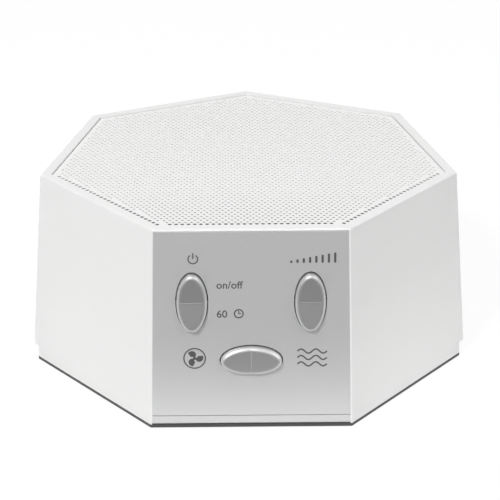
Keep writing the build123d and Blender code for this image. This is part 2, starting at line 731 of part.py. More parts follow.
# ------------------------------------------------------------------ button board
with BuildPart() as button_board:
    with BuildSketch(FACE.offset(-BOARD_DEPTH)):
        with Locations((0, CARRIER_MIDDLE)):
            RectangleRounded(
                2 * (CARRIER_SIDE - BUTTON_BOARD_MARGIN),
                CARRIER_TALL - 2 * BUTTON_BOARD_MARGIN,
                BUTTON_BOARD_CORNER,
            )
        with Locations(*POST_SPOTS):
            Circle(BOARD_SHANK + BOARD_HOLE_GAP, mode=Mode.SUBTRACT)
    extrude(amount=-BOARD_THICK)
save(button_board.part, "button_board")

# screws, heads to the rear
save(
    screws(
        [
            Plane(
                origin=FACE.from_local_coords((u, v, -BOARD_BACK)),
                x_dir=FACE.x_dir,
                z_dir=-FACE.z_dir,
            )
            for u, v in POST_SPOTS
        ],
        BOARD_SHANK,
        BOARD_SCREW_LONG,
        BOARD_HEAD,
        BOARD_HEAD_HIGH,
    ),
    "button_board_screws",
)

with BuildPart() as decoder_chip:
    with BuildSketch(FACE.offset(-BOARD_BACK)):
        with Locations((DECODER_SPREAD, ROCKER_LOWER)):
            Rectangle(*DECODER_SIZE)
    extrude(amount=-DECODER_HIGH)
save(decoder_chip.part, "decoder_chip")

# ------------------------------------------------------------------ speaker
with BuildPart() as speaker_gasket:
    with BuildSketch(Plane.XY.offset(FRAME_TOP)):
        Circle(FRAME_RADIUS)
        Circle(GASKET_INNER, mode=Mode.SUBTRACT)
        with PolarLocations(SPEAKER_BOLT_RADIUS, SPEAKER_BOLTS, SPEAKER_BOLT_START):
            Circle(BOARD_SHANK + BOARD_HOLE_GAP, mode=Mode.SUBTRACT)
    extrude(amount=GASKET_THICK)
save(speaker_gasket.part, "speaker_gasket")

SHOULDER_Z = FRAME_TOP - BASKET_SHOULDER_DEEP
FLOOR_Z = PLATE_TOP + FRAME_SHEET
SHELF_Z = FLOOR_Z + SHELF_HIGH


def turned(points):
    """Solid of revolution about the Z axis from (radius, height) corners."""
    with BuildPart() as body:
        with BuildSketch(Plane.XZ):
            Polygon(*points, align=None)
        revolve(axis=Axis.Z)
    return body.part


# pressed basket: flange, wall, spider shelf and floor
with BuildPart() as speaker_basket:
    add(
        turned(
            [
                (FRAME_RADIUS, FRAME_TOP),
                (BASKET_MOUTH, FRAME_TOP),
                (BASKET_SHOULDER, SHOULDER_Z),
                (BASKET_FOOT, SHELF_Z),
                (SPIDER_SHELF, SHELF_Z),
                (SPIDER_SHELF, FLOOR_Z),
                (PLATE_BORE, FLOOR_Z),
                (PLATE_BORE, PLATE_TOP),
                (SPIDER_SHELF + FRAME_SHEET, PLATE_TOP),
                (SPIDER_SHELF + FRAME_SHEET, SHELF_Z - FRAME_SHEET),
                (BASKET_FOOT + FRAME_SHEET / 2, SHELF_Z - FRAME_SHEET),
                (BASKET_SHOULDER + FRAME_SHEET, SHOULDER_Z - FRAME_SHEET / 2),
                (BASKET_MOUTH + FRAME_SHEET, FRAME_BOTTOM),
                (FRAME_RADIUS, FRAME_BOTTOM),
            ]
        )
    )
    for k in range(BASKET_WINDOWS):
        middle = WINDOW_START + k * 360 / BASKET_WINDOWS
        with BuildSketch(Plane.XY.offset(SHELF_Z + WINDOW_EDGE)):
            start, end = middle - WINDOW_ANGLE / 2, middle + WINDOW_ANGLE / 2
            Polygon(
                polar(BASKET_FOOT / 2, start),
                polar(2 * FRAME_RADIUS, start),
                polar(2 * FRAME_RADIUS, end),
                polar(BASKET_FOOT / 2, end),
                align=None,
            )
        extrude(amount=SHOULDER_Z - SHELF_Z - 2 * WINDOW_EDGE, mode=Mode.SUBTRACT)
    with BuildSketch(Plane.XY.offset(FRAME_BOTTOM)):
        with PolarLocations(SPEAKER_BOLT_RADIUS, SPEAKER_BOLTS, SPEAKER_BOLT_START):
            Circle(BOARD_SHANK + BOARD_HOLE_GAP)
    extrude(amount=FRAME_SHEET, mode=Mode.SUBTRACT)
save(speaker_basket.part, "speaker_basket")

SPEAKER_SPOTS = [
    polar(SPEAKER_BOLT_RADIUS, SPEAKER_BOLT_START + k * 360 / SPEAKER_BOLTS)
    for k in range(SPEAKER_BOLTS)
]
save(
    screws(
        [Plane(origin=(x, y, FRAME_BOTTOM), z_dir=(0, 0, -1)) for x, y in SPEAKER_SPOTS],
        BOARD_SHANK,
        BOARD_SCREW_LONG,
        BOARD_HEAD,
        BOARD_HEAD_HIGH,
    ),
    "speaker_screws",
)

# motor: top plate, ring magnet, and yoke with its pole
with BuildPart() as top_plate:
    with BuildSketch(Plane.XY.offset(PLATE_BOTTOM)):
        Circle(PLATE_RADIUS)
        Circle(PLATE_BORE, mode=Mode.SUBTRACT)
    extrude(amount=PLATE_THICK)
save(top_plate.part, "top_plate")

with BuildPart() as magnet:
    with BuildSketch(Plane.XY.offset(MAGNET_BOTTOM)):
        Circle(MAGNET_RADIUS)
        Circle(MAGNET_BORE, mode=Mode.SUBTRACT)
    extrude(amount=MAGNET_THICK)
save(magnet.part, "magnet")

with BuildPart() as yoke:
    with BuildSketch(Plane.XY.offset(YOKE_BOTTOM)):
        Circle(PLATE_RADIUS)
    extrude(amount=PLATE_THICK)
    with BuildSketch(Plane.XY.offset(MAGNET_BOTTOM)):
        Circle(POLE_RADIUS)
    extrude(amount=PLATE_TOP - MAGNET_BOTTOM)
save(yoke.part, "yoke")

# moving parts: former, winding, cone and dust cap
COIL_BOTTOM = PLATE_TOP - COIL_DIP
COIL_TOP = COIL_BOTTOM + COIL_LONG
FORMER_OUTER = COIL_INNER + COIL_WALL
NECK_RADIUS = FORMER_OUTER + SPEAKER_GLUE
NECK_Z = SHELF_Z + SPIDER_THICK + NECK_GAP
LIP_Z = FRAME_TOP
CONE_SLOPE = (LIP_Z - NECK_Z) / (CONE_RADIUS - CONE_LIP - NECK_RADIUS)

with BuildPart() as coil_former:
    with BuildSketch(Plane.XY.offset(COIL_BOTTOM)):
        Circle(FORMER_OUTER)
        Circle(COIL_INNER, mode=Mode.SUBTRACT)
    extrude(amount=COIL_LONG)
save(coil_former.part, "coil_former")

with BuildPart() as voice_coil:
    with BuildSketch(Plane.XY.offset(COIL_BOTTOM + WINDING_EDGE)):
        Circle(FORMER_OUTER + WINDING_THICK)
        Circle(FORMER_OUTER, mode=Mode.SUBTRACT)
    extrude(amount=WINDING_LONG)
save(voice_coil.part, "voice_coil")

save(
    turned(
        [
            (NECK_RADIUS, NECK_Z),
            (NECK_RADIUS + PAPER, NECK_Z),
            (CONE_RADIUS - CONE_LIP + PAPER / 2, LIP_Z - PAPER),
            (CONE_RADIUS, LIP_Z - PAPER),
            (CONE_RADIUS, LIP_Z),
            (CONE_RADIUS - CONE_LIP, LIP_Z),
            (NECK_RADIUS, NECK_Z + PAPER * CONE_SLOPE),
        ]
    ),
    "cone",
)

# dust cap: a dome whose foot sits on the cone
CAP_FOOT_Z = NECK_Z + PAPER * CONE_SLOPE + (DOME_FOOT - NECK_RADIUS) * CONE_SLOPE + SPEAKER_GLUE
DOME_CURVE = (DOME_FOOT**2 + CAP_DOME_HIGH**2) / (2 * CAP_DOME_HIGH)
with BuildPart() as dust_cap:
    with BuildSketch(Plane.XZ):
        with Locations((0, CAP_FOOT_Z + CAP_DOME_HIGH - DOME_CURVE)):
            Circle(DOME_CURVE)
            Circle(DOME_CURVE - PAPER, mode=Mode.SUBTRACT)
        with Locations((0, CAP_FOOT_Z)):
            Rectangle(
                DOME_FOOT, CAP_DOME_HIGH, align=(Align.MIN, Align.MIN), mode=Mode.INTERSECT
            )
    revolve(axis=Axis.Z)
save(dust_cap.part, "dust_cap")

# surround: half roll between the cone's lip and the basket's mouth, with a flange on each
ROLL_INNER = CONE_RADIUS + ROLL_FOOT
ROLL_OUTER = BASKET_MOUTH - ROLL_FOOT
ROLL_MIDDLE = (ROLL_INNER + ROLL_OUTER) / 2
ROLL_RADIUS = (ROLL_OUTER - ROLL_INNER) / 2
with BuildPart() as surround:
    with BuildSketch(Plane.XZ):
        with Locations((ROLL_MIDDLE, FRAME_TOP)):
            Circle(ROLL_RADIUS + ROLL_THICK)
        with Locations((CONE_RADIUS - CONE_LIP, FRAME_TOP)):
            Rectangle(
                SURROUND_RADIUS - CONE_RADIUS + CONE_LIP,
                ROLL_THICK,
                align=(Align.MIN, Align.MIN),
            )
        with Locations((ROLL_MIDDLE, FRAME_TOP)):
            Circle(ROLL_RADIUS, mode=Mode.SUBTRACT)
            Rectangle(
                2 * BASKET_MOUTH,
                2 * BASKET_MOUTH,
                align=(Align.CENTER, Align.MAX),
                mode=Mode.SUBTRACT,
            )
    revolve(axis=Axis.Z)
save(surround.part, "surround")

# spider: corrugated disc from the former to the basket's shelf
WAVE_START = NECK_RADIUS + SPIDER_COLLAR
WAVE_END = BASKET_FOOT - SPIDER_EDGE - SPIDER_RIM
WAVE_STEP = (WAVE_END - WAVE_START) / (4 * SPIDER_WAVES)
WAVE = [
    (WAVE_START + (2 * k + 1) * WAVE_STEP, SPIDER_WAVE * (-1) ** k)
    for k in range(2 * SPIDER_WAVES)
]
SPIDER_LINE = [(NECK_RADIUS, 0), (WAVE_START, 0), *WAVE, (WAVE_END, 0), (BASKET_FOOT - SPIDER_EDGE, 0)]
save(
    turned(
        [(r, SHELF_Z + dz) for r, dz in SPIDER_LINE]
        + [(r, SHELF_Z + SPIDER_THICK + dz) for r, dz in reversed(SPIDER_LINE)]
    ),
    "spider",
)

# terminals under the flange on the left, and the leads to the main board
TERMINAL_BOTTOM = FRAME_BOTTOM - TERMINAL_TALL
with BuildPart() as terminal_strip:
    with BuildSketch(Plane.XY.offset(TERMINAL_BOTTOM)):
        with Locations((-TERMINAL_REACH + TERMINAL_THICK / 2, 0)):
            Rectangle(TERMINAL_THICK, TERMINAL_WIDE)
    extrude(amount=TERMINAL_TALL)
save(terminal_strip.part, "terminal_strip")

LUG_BOTTOM = TERMINAL_BOTTOM - LUG_DROP
with BuildPart() as terminal_lugs:
    with BuildSketch(Plane.XY.offset(LUG_BOTTOM)):
        with Locations(
            (-TERMINAL_REACH - LUG_THICK / 2, -LUG_SPREAD),
            (-TERMINAL_REACH - LUG_THICK / 2, LUG_SPREAD),
        ):
            Rectangle(LUG_THICK, LUG_WIDE)
    extrude(amount=LUG_DROP + LUG_LONG)
save(terminal_lugs.part, "terminal_lugs")

with BuildPart() as speaker_plug:
    with BuildSketch(Plane.XY.offset(MAIN_TOP)):
        with Locations(PLUG_SPOT):
            Rectangle(PLUG_DEEP, PLUG_WIDE)
    extrude(amount=PLUG_HIGH)
save(speaker_plug.part, "speaker_plug")


def bend_radii(points):
    """Radius of each bend of a route: a share of its shorter run, by half the turn."""
    radii = []
    for before, corner, after in zip(points, points[1:], points[2:]):
        run_in, run_out = corner - before, after - corner
        half_turn = radians(run_in.get_angle(run_out)) / 2
        radii.append(LEAD_BEND * min(run_in.length, run_out.length) / tan(half_turn))
    return radii


def make_lead(side):
    """Wire from one of the speaker's lugs down to its place in the plug."""
    top = Vector(-TERMINAL_REACH - LUG_THICK / 2, side * LUG_SPREAD, LUG_BOTTOM)
    end = Vector(PLUG_SPOT[0], PLUG_SPOT[1] + side * PLUG_PITCH / 2, MAIN_TOP + PLUG_HIGH)
    drop = Vector(0, 0, LEAD_DROP)
    points = [top, top - drop, end + drop, end]
    radii = bend_radii(points)
    print("lead radii", [round(r, 2) for r in radii])
    with BuildPart() as lead:
        with BuildLine():
            FilletPolyline(*points, radius=radii)
        with BuildSketch(Plane(origin=top, z_dir=(0, 0, -1))):
            Circle(LEAD_RADIUS)
        sweep()
    return lead.part


save(make_lead(-1), "speaker_lead_red")
save(make_lead(1), "speaker_lead_black")

# ------------------------------------------------------------------ base pan and mat
with BuildPart() as base_pan:
    add(rounded_section(regular(front_apothem(FLANGE_TOP)), STANDOFF, EDGE_ROUND))
    extrude(amount=FLANGE_TOP - STANDOFF)
    with BuildSketch(Plane.XY.offset(FLANGE_TOP)):
        Polygon(*outline(PAN_FRONT, PAN_SIDE, PAN_SIDE), align=None)
    extrude(amount=PAN_TOP - FLANGE_TOP)
    with BuildSketch(Plane.XY.offset(PAN_INSIDE)):
        Polygon(
            *outline(PAN_FRONT - PAN_RIM_WALL, PAN_SIDE - PAN_RIM_WALL, PAN_SIDE - PAN_RIM_WALL),
            align=None,
        )
    extrude(amount=PAN_TOP - PAN_INSIDE, mode=Mode.SUBTRACT)
    with BuildSketch(Plane.XY.offset(PAN_INSIDE)):
        with Locations(*BOSS_SPOTS):
            Circle(BOSS_RADIUS)
        Polygon(*outline(PAN_FRONT, PAN_SIDE, PAN_SIDE), align=None, mode=Mode.INTERSECT)
    extrude(amount=PAN_TOP - PAN_INSIDE)
    with BuildSketch(Plane.XY.offset(PAN_INSIDE)):
        with Locations(*MAIN_SPOTS):
            Circle(STANDOFF_RADIUS)
    extrude(amount=MAIN_STANDOFF)
    with BuildSketch(Plane.XY.offset(PAN_INSIDE)):
        with Locations(*MAIN_SPOTS):
            Circle(BOARD_SHANK + THREAD_GAP)
    extrude(amount=MAIN_STANDOFF, mode=Mode.SUBTRACT)
    add(
        rounded_section(
            regular(front_apothem(FLANGE_TOP) - MAT_BORDER), STANDOFF, MAT_CORNER
        )
    )
    extrude(amount=MAT_THICK - STANDOFF, mode=Mode.SUBTRACT)
    with BuildSketch(Plane.XY.offset(MAT_THICK)):
        with Locations(*BOSS_SPOTS):
            Circle(COUNTERBORE)
    extrude(amount=HEAD_SEAT - MAT_THICK, mode=Mode.SUBTRACT)
    with BuildSketch(Plane.XY.offset(HEAD_SEAT)):
        with Locations(*BOSS_SPOTS):
            Circle(CASE_SHANK + CASE_HOLE_GAP)
    extrude(amount=PAN_TOP - HEAD_SEAT, mode=Mode.SUBTRACT)
save(base_pan.part, "base_pan")

with BuildPart() as base_mat:
    add(
        rounded_section(
            regular(front_apothem(FLANGE_TOP) - MAT_BORDER - MAT_GAP), 0, MAT_CORNER
        )
    )
    extrude(amount=MAT_THICK)
save(base_mat.part, "base_mat")

save(
    screws(
        [Plane(origin=(x, y, HEAD_SEAT), z_dir=(0, 0, -1)) for x, y in BOSS_SPOTS],
        CASE_SHANK,
        CASE_SCREW_LONG,
        CASE_HEAD,
        CASE_HEAD_HIGH,
    ),
    "case_screws",
)

# ------------------------------------------------------------------ main board and its parts
with BuildPart() as main_board:
    with BuildSketch(Plane.XY.offset(MAIN_BOTTOM)):
        Polygon(*regular(MAIN_APOTHEM), align=None)
        Circle(MAIN_RADIUS, mode=Mode.INTERSECT)
        with Locations((0, MAIN_FRONT)):
            Rectangle(
                2 * MAIN_RADIUS, MAIN_RADIUS, align=(Align.CENTER, Align.MAX), mode=Mode.SUBTRACT
            )
        with Locations(*MAIN_SPOTS):
            Circle(BOARD_SHANK + BOARD_HOLE_GAP, mode=Mode.SUBTRACT)
    extrude(amount=BOARD_THICK)
save(main_board.part, "main_board")

save(
    screws(
        [Plane(origin=(x, y, MAIN_TOP), z_dir=(0, 0, 1)) for x, y in MAIN_SPOTS],
        BOARD_SHANK,
        BOARD_SCREW_LONG,
        BOARD_HEAD,
        BOARD_HEAD_HIGH,
    ),
    "main_board_screws",
)


def on_board(spots, size, high):
    """Boxes that stand on the main board."""
    with BuildPart() as boxes:
        with BuildSketch(Plane.XY.offset(MAIN_TOP)):
            with Locations(*spots):
                Rectangle(*size)
        extrude(amount=high)
    return boxes.part


for name, (spot, size, high) in {
    "sound_chip": SOUND_CHIP,
    "memory_chip": MEMORY_CHIP,
    "amplifier_chip": AMPLIFIER_CHIP,
    "regulator": (REGULATOR_SPOT, REGULATOR_SIZE, REGULATOR_HIGH),
    "inductor": (INDUCTOR_SPOT, INDUCTOR_SIZE, INDUCTOR_HIGH),
}.items():
    save(on_board([spot], size, high), name)
save(on_board(CERAMIC_SPOTS, CERAMIC_SIZE[:2], CERAMIC_SIZE[2]), "ceramic_parts")

with BuildPart() as crystal:
    with BuildSketch(Plane.XY.offset(MAIN_TOP)):
        with Locations(CRYSTAL_SPOT):
            SlotOverall(CRYSTAL_LONG, CRYSTAL_WIDE)
    extrude(amount=CRYSTAL_HIGH)
save(crystal.part, "crystal")

with BuildPart() as capacitors:
    with BuildSketch(Plane.XY.offset(MAIN_TOP)):
        with Locations(*CAPACITOR_SPOTS):
            Circle(CAPACITOR_RADIUS)
    extrude(amount=CAPACITOR_HIGH)
save(capacitors.part, "capacitors")

# ribbon cable between the boards
with BuildPart() as ribbon_header:
    with BuildSketch(FACE.offset(-BOARD_BACK)):
        with Locations((0, TAIL_HEADER_V)):
            Rectangle(HEADER_WIDE, HEADER_DEEP)
    extrude(amount=-HEADER_HIGH)
save(ribbon_header.part, "ribbon_header")

with BuildPart() as main_ribbon_header:
    with BuildSketch(Plane.XY.offset(MAIN_TOP)):
        with Locations((0, MAIN_HEADER_Y)):
            Rectangle(HEADER_WIDE, HEADER_DEEP)
    extrude(amount=HEADER_HIGH)
save(main_ribbon_header.part, "main_ribbon_header")

RIBBON_START = FACE.from_local_coords((0, TAIL_HEADER_V, -BOARD_BACK - HEADER_HIGH))
RIBBON_CORNER = RIBBON_START - FACE.z_dir * ((MAIN_HEADER_Y - RIBBON_START.Y) / cos(LEAN))
with BuildPart() as ribbon_cable:
    with BuildLine():
        FilletPolyline(
            RIBBON_START,
            RIBBON_CORNER,
            Vector(0, MAIN_HEADER_Y, MAIN_TOP + HEADER_HIGH),
            radius=RIBBON_TURN,
        )
    with BuildSketch(Plane(origin=RIBBON_START, x_dir=(1, 0, 0), z_dir=-FACE.z_dir)):
        Rectangle(RIBBON_WIDE, RIBBON_THICK)
    sweep()
save(ribbon_cable.part, "ribbon_cable")

# ------------------------------------------------------------------ sockets
SOCKET_FRONT = front_apothem(MAIN_TOP + POWER_TALL) - WALL - SOCKET_WALL_GAP


def make_socket(spread, wide, tall, length, nose, bore, bore_long):
    """Socket body on the main board with a round nose through the wall and its bore."""
    with BuildPart() as socket:
        with BuildSketch(wall_plane(SOCKET_FACE, SOCKET_FRONT)):
            with Locations((spread, MAIN_TOP)):
                Rectangle(wide, tall, align=(Align.CENTER, Align.MIN))
        extrude(amount=-length)
        with BuildSketch(wall_plane(SOCKET_FACE, SOCKET_FRONT)):
            with Locations((spread, SOCKET_Z)):
                Circle(nose)
        extrude(amount=BAY_FLOOR - SOCKET_FRONT)
        with BuildSketch(wall_plane(SOCKET_FACE, BAY_FLOOR)):
            with Locations((spread, SOCKET_Z)):
                Circle(bore)
        extrude(amount=-bore_long, mode=Mode.SUBTRACT)
    return socket.part


save(
    make_socket(
        -SOCKET_SPREAD, POWER_WIDE, POWER_TALL, POWER_LONG, POWER_NOSE, POWER_BORE, POWER_BORE_LONG
    ),
    "power_socket",
)
with BuildPart() as power_socket_pin:
    with BuildSketch(wall_plane(SOCKET_FACE, BAY_FLOOR - POWER_BORE_LONG)):
        with Locations((-SOCKET_SPREAD, SOCKET_Z)):
            Circle(POWER_PIN)
    extrude(amount=POWER_BORE_LONG - POWER_PIN_SHORT)
save(power_socket_pin.part, "power_socket_pin")
save(
    make_socket(
        SOCKET_SPREAD, AUDIO_WIDE, AUDIO_TALL, AUDIO_LONG, AUDIO_NOSE, AUDIO_BORE, AUDIO_BORE_LONG
    ),
    "audio_socket",
)
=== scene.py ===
"""Seven-sided desktop sound machine: the finished look of every piece, in the frame of its model.

Lengths in the classes are millimetres unless their comment says metres, and meshes are turned
into metres as they are placed.
+Z is up, the front panel faces -Y, and the body's axis is Z.
"""

import json
import logging
from dataclasses import dataclass, field
from enum import Enum

import bmesh
import bpy
import numpy as np
from mathutils import Matrix, Quaternion, Vector
from mathutils.geometry import delaunay_2d_cdt
from numpy.typing import NDArray


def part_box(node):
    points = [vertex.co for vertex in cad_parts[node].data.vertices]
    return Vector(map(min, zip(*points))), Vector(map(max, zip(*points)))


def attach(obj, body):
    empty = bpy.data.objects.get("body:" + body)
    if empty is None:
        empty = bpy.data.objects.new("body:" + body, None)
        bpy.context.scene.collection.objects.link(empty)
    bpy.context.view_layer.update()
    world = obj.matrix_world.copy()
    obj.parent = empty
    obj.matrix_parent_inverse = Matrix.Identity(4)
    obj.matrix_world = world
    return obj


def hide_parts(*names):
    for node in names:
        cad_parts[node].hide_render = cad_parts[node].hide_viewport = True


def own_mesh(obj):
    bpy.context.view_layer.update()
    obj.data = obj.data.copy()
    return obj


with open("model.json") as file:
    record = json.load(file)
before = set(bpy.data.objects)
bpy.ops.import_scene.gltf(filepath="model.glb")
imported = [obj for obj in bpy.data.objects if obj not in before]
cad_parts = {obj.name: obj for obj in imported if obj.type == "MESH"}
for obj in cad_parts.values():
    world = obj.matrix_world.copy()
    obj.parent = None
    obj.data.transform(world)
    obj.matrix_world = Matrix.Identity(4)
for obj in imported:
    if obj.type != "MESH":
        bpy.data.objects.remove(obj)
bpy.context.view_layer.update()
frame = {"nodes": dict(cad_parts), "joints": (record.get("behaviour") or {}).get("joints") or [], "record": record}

log = logging.getLogger("sound_machine")

Array = NDArray[np.float64]
Color = tuple[float, float, float]
Socket = bpy.types.NodeSocket
Pair = tuple[float, float]
HeightShade = tuple[Socket, Socket]

MM = 0.001
SIDES = 7
SEVENTH = 2 * np.pi / SIDES
HALF_SIDE = np.tan(np.pi / SIDES)  # half a side's length, for an apothem of 1
WELD_GAP = 1e-7  # metres between points that count as one
OVAL_STEPS = 96
CORNER_STEPS = 8
WHITE = (1.0, 1.0, 1.0, 1.0)


# ---------------------------------------------------------------- surfaces
@dataclass
class Surface:
    """Points and faces of one piece of skin.

    Attributes:
        points: one row of x, y and z per point.
        faces: arrays of point numbers, each array with one row per face of the same corner count.
        shade: one value per point of the piece's painted shade or highlight, or None.
    """

    points: Array
    faces: list[NDArray[np.int64]]
    shade: Array | None = None


def join(parts: list[Surface]) -> Surface:
    """Puts several surfaces in one, each with its point numbers moved past the ones before it.

    Where only some of them have a shade, the others count as 0.

    Args:
        parts: the surfaces, in order.

    Returns:
        One surface with all their points and faces.
    """
    counts = [len(part.points) for part in parts]
    starts = np.cumsum([0] + counts[:-1])
    faces = [face + start for part, start in zip(parts, starts) for face in part.faces]
    joined = Surface(np.concatenate([part.points for part in parts]), faces)
    if any(part.shade is not None for part in parts):
        none = [np.zeros(count) for count in counts]
        painted_light_values = [zeros if part.shade is None else part.shade for part, zeros in zip(parts, none)]
        joined.shade = np.concatenate(painted_light_values)
    return joined


def grid(points: Array, around: bool = False, closed: bool = False, capped: bool = False) -> Surface:
    """Skin over a grid of points p(i, j).

    The face at (i, j) joins p(i, j), p(i + 1, j), p(i + 1, j + 1) and p(i, j + 1), with numbers
    taken round to 0 after the last row or column where the grid closes.

    Args:
        points: rows by columns by 3.
        around: whether the last row joins the first.
        closed: whether the last column joins the first.
        capped: whether the first and last rows are filled as flat ends.

    Returns:
        The surface.
    """
    rows, columns = points.shape[:2]
    i = np.arange(rows if around else rows - 1)[:, None]
    j = np.arange(columns if closed else columns - 1)[None, :]
    k, m = (i + 1) % rows, (j + 1) % columns
    corners = [i * columns + j, k * columns + j, k * columns + m, i * columns + m]
    faces = [np.stack(np.broadcast_arrays(*corners), axis=-1).reshape(-1, 4)]
    if capped:
        ring = np.arange(columns)
        faces += [ring[None, ::-1], ring[None] + (rows - 1) * columns]
    return Surface(points.reshape(-1, 3), faces)


def turned(profile: Array, segments: int, centre: Pair = (0.0, 0.0)) -> Surface:
    """Surface of revolution: each profile point (r, z) goes to (r cos a, r sin a, z).

    Args:
        profile: rows of r and z. It starts and ends on the axis, or is a closed ring.
        segments: steps of a round the full turn.
        centre: where the axis stands.

    Returns:
        The surface, closed along the profile where that stays off the axis.
    """
    a = np.linspace(0, 2 * np.pi, segments, endpoint=False)[:, None]
    r, z = profile[None, :, 0], profile[None, :, 1]
    points = np.stack([r * np.cos(a) + centre[0], r * np.sin(a) + centre[1], z + 0 * a], axis=-1)
    ring = bool(profile[0, 0] > 0 or profile[-1, 0] > 0)
    return grid(points, around=True, closed=ring)


def turned_skin(line: Array, thick: float, segments: int) -> Surface:
    """Turned sheet: its profile is a line, and then the same line moved down, backwards.

    Args:
        line: rows of r and z, from the inside out.
        thick: how far the line is moved.
        segments: steps round the full turn.

    Returns:
        The surface.
    """
    return turned(np.concatenate([line, line[::-1] - (0.0, thick)]), segments)


def stacked(outlines: Array, heights: Array) -> Surface:
    """Closed skin through a stack of outlines, such as rings that shrink to a point at both ends.

    Args:
        outlines: levels by points by 2.
        heights: levels by points, or levels by 1.

    Returns:
        The surface.
    """
    z = np.broadcast_to(heights, outlines.shape[:2])
    return grid(np.concatenate([outlines, z[..., None]], axis=-1).transpose(1, 0, 2), around=True)


def stroke(path: Array, half: Array | float, low: float, high: float, loop: bool = False) -> Surface:
    """Flat raised band along a path: at each point it reaches half its width to both sides.

    The side direction is the path's tangent turned by a quarter, and the band's section is the
    box from low to high.

    Args:
        path: rows of u and v.
        half: half the width, for the whole path or for each point.
        low: height of the underside.
        high: height of the top.
        loop: whether the path joins its own start.

    Returns:
        The surface, closed at its ends.
    """
    if loop:
        tangent = np.roll(path, -1, axis=0) - np.roll(path, 1, axis=0)
    else:
        tangent = np.gradient(path, axis=0)
    tangent = tangent / np.linalg.norm(tangent, axis=1, keepdims=True)
    side = np.stack([-tangent[:, 1], tangent[:, 0]], axis=1)
    reach = np.broadcast_to(np.asarray(half, float), len(path))[:, None] * side
    left, right = path + reach, path - reach
    section = [(left, low), (left, high), (right, high), (right, low)]
    corners = [np.concatenate([edge, np.full((len(path), 1), z)], axis=1) for edge, z in section]
    return grid(np.stack(corners, axis=1), around=loop, closed=True, capped=not loop)


def disc(u: float, v: float, radius: float, low: float, high: float) -> Surface:
    """Round raised spot: a band whose half width is sqrt(r^2 - x^2) along its diameter.

    Args:
        u: middle across the face.
        v: middle up the face.
        radius: r.
        low: height of the underside.
        high: height of the top.

    Returns:
        The surface.
    """
    blunt = 0.02  # radians left out at both ends, where the band would have no width
    x = -radius * np.cos(np.linspace(blunt, np.pi - blunt, 25))
    path = np.stack([u + x, np.full_like(x, v)], axis=1)
    return stroke(path, np.sqrt(radius**2 - x**2), low, high)


def bar(start: Pair, end: Pair, half: float, low: float, high: float) -> Surface:
    """Straight raised band with round ends between two points.

    Args:
        start: middle of the first round end.
        end: middle of the last round end.
        half: half the width.
        low: height of the underside.
        high: height of the top.

    Returns:
        The surface.
    """
    a, b = np.array(start, float), np.array(end, float)
    along = (b - a) / np.linalg.norm(b - a)
    steps, blunt = 7, 0.06  # blunt: radians left out where an end would have no width
    turn = np.linspace(blunt, np.pi / 2, steps)
    ends = np.concatenate([-half * np.cos(turn), half * np.cos(turn[::-1])])[:, None]
    wide = half * np.sin(np.concatenate([turn, turn[::-1]]))
    return stroke(np.repeat([a, b], steps, axis=0) + ends * along, wide, low, high)


def tube(path: Array, section: Array) -> Surface:
    """Section carried along a path: point (p, q) goes to path + p side + q rise.

    Side is the tangent crossed with Z, and rise is side crossed with the tangent.

    Args:
        path: rows of x, y and z, which never run straight up or down.
        section: rows of p and q, in order round the section.

    Returns:
        The surface, closed at its ends.
    """
    tangent = np.gradient(path, axis=0)
    tangent /= np.linalg.norm(tangent, axis=1, keepdims=True)
    side = np.cross(tangent, (0.0, 0.0, 1.0))
    side /= np.linalg.norm(side, axis=1, keepdims=True)
    rise = np.cross(side, tangent)
    p, q = section[None, :, :1], section[None, :, 1:]
    return grid(path[:, None] + p * side[:, None] + q * rise[:, None], closed=True, capped=True)


def copies(part: Surface, shifts: Array) -> Surface:
    """The same surface at each of several shifts, all worked out at once.

    Args:
        part: the surface.
        shifts: one row of x, y and z per copy.

    Returns:
        One surface.
    """
    points = (part.points[None] + shifts[:, None]).reshape(-1, 3)
    steps = np.arange(len(shifts))[:, None, None] * len(part.points)
    return Surface(points, [(face[None] + steps).reshape(-1, face.shape[1]) for face in part.faces])


def ellipse(half_x: float, half_y: float, inset: float = 0.0) -> Array:
    """Points of an ellipse's inner parallel curve.

    The point at angle t is (a cos t, b sin t) minus the inset times the unit normal there, which
    runs along (b cos t, a sin t).

    Args:
        half_x: a.
        half_y: b.
        inset: how far the curve lies inside the ellipse.

    Returns:
        Rows of x and y.
    """
    t = np.linspace(0, 2 * np.pi, OVAL_STEPS, endpoint=False)
    normal = np.stack([half_y * np.cos(t), half_x * np.sin(t)], axis=1)
    normal /= np.linalg.norm(normal, axis=1, keepdims=True)
    return np.stack([half_x * np.cos(t), half_y * np.sin(t)], axis=1) - inset * normal


def rounded_rectangle(half_x: float, half_y: float, radius: float) -> Array:
    """Corners of a rectangle with quarter-circle corners, anticlockwise.

    Args:
        half_x: half its width.
        half_y: half its height.
        radius: corner radius.

    Returns:
        Rows of x and y.
    """
    turn = np.linspace(0, np.pi / 2, CORNER_STEPS)
    angles = (turn[None] + np.arange(4)[:, None] * np.pi / 2).ravel()
    signs = np.array([(1, 1), (-1, 1), (-1, -1), (1, -1)], float).repeat(CORNER_STEPS, axis=0)
    middle = signs * np.array([half_x - radius, half_y - radius])
    return middle + radius * np.stack([np.cos(angles), np.sin(angles)], axis=1)


def side_normals() -> Array:
    """Outward directions of the seven sides, from the front one on: (sin a, -cos a)."""
    a = np.arange(SIDES) * SEVENTH
    return np.stack([np.sin(a), -np.cos(a)], axis=1)


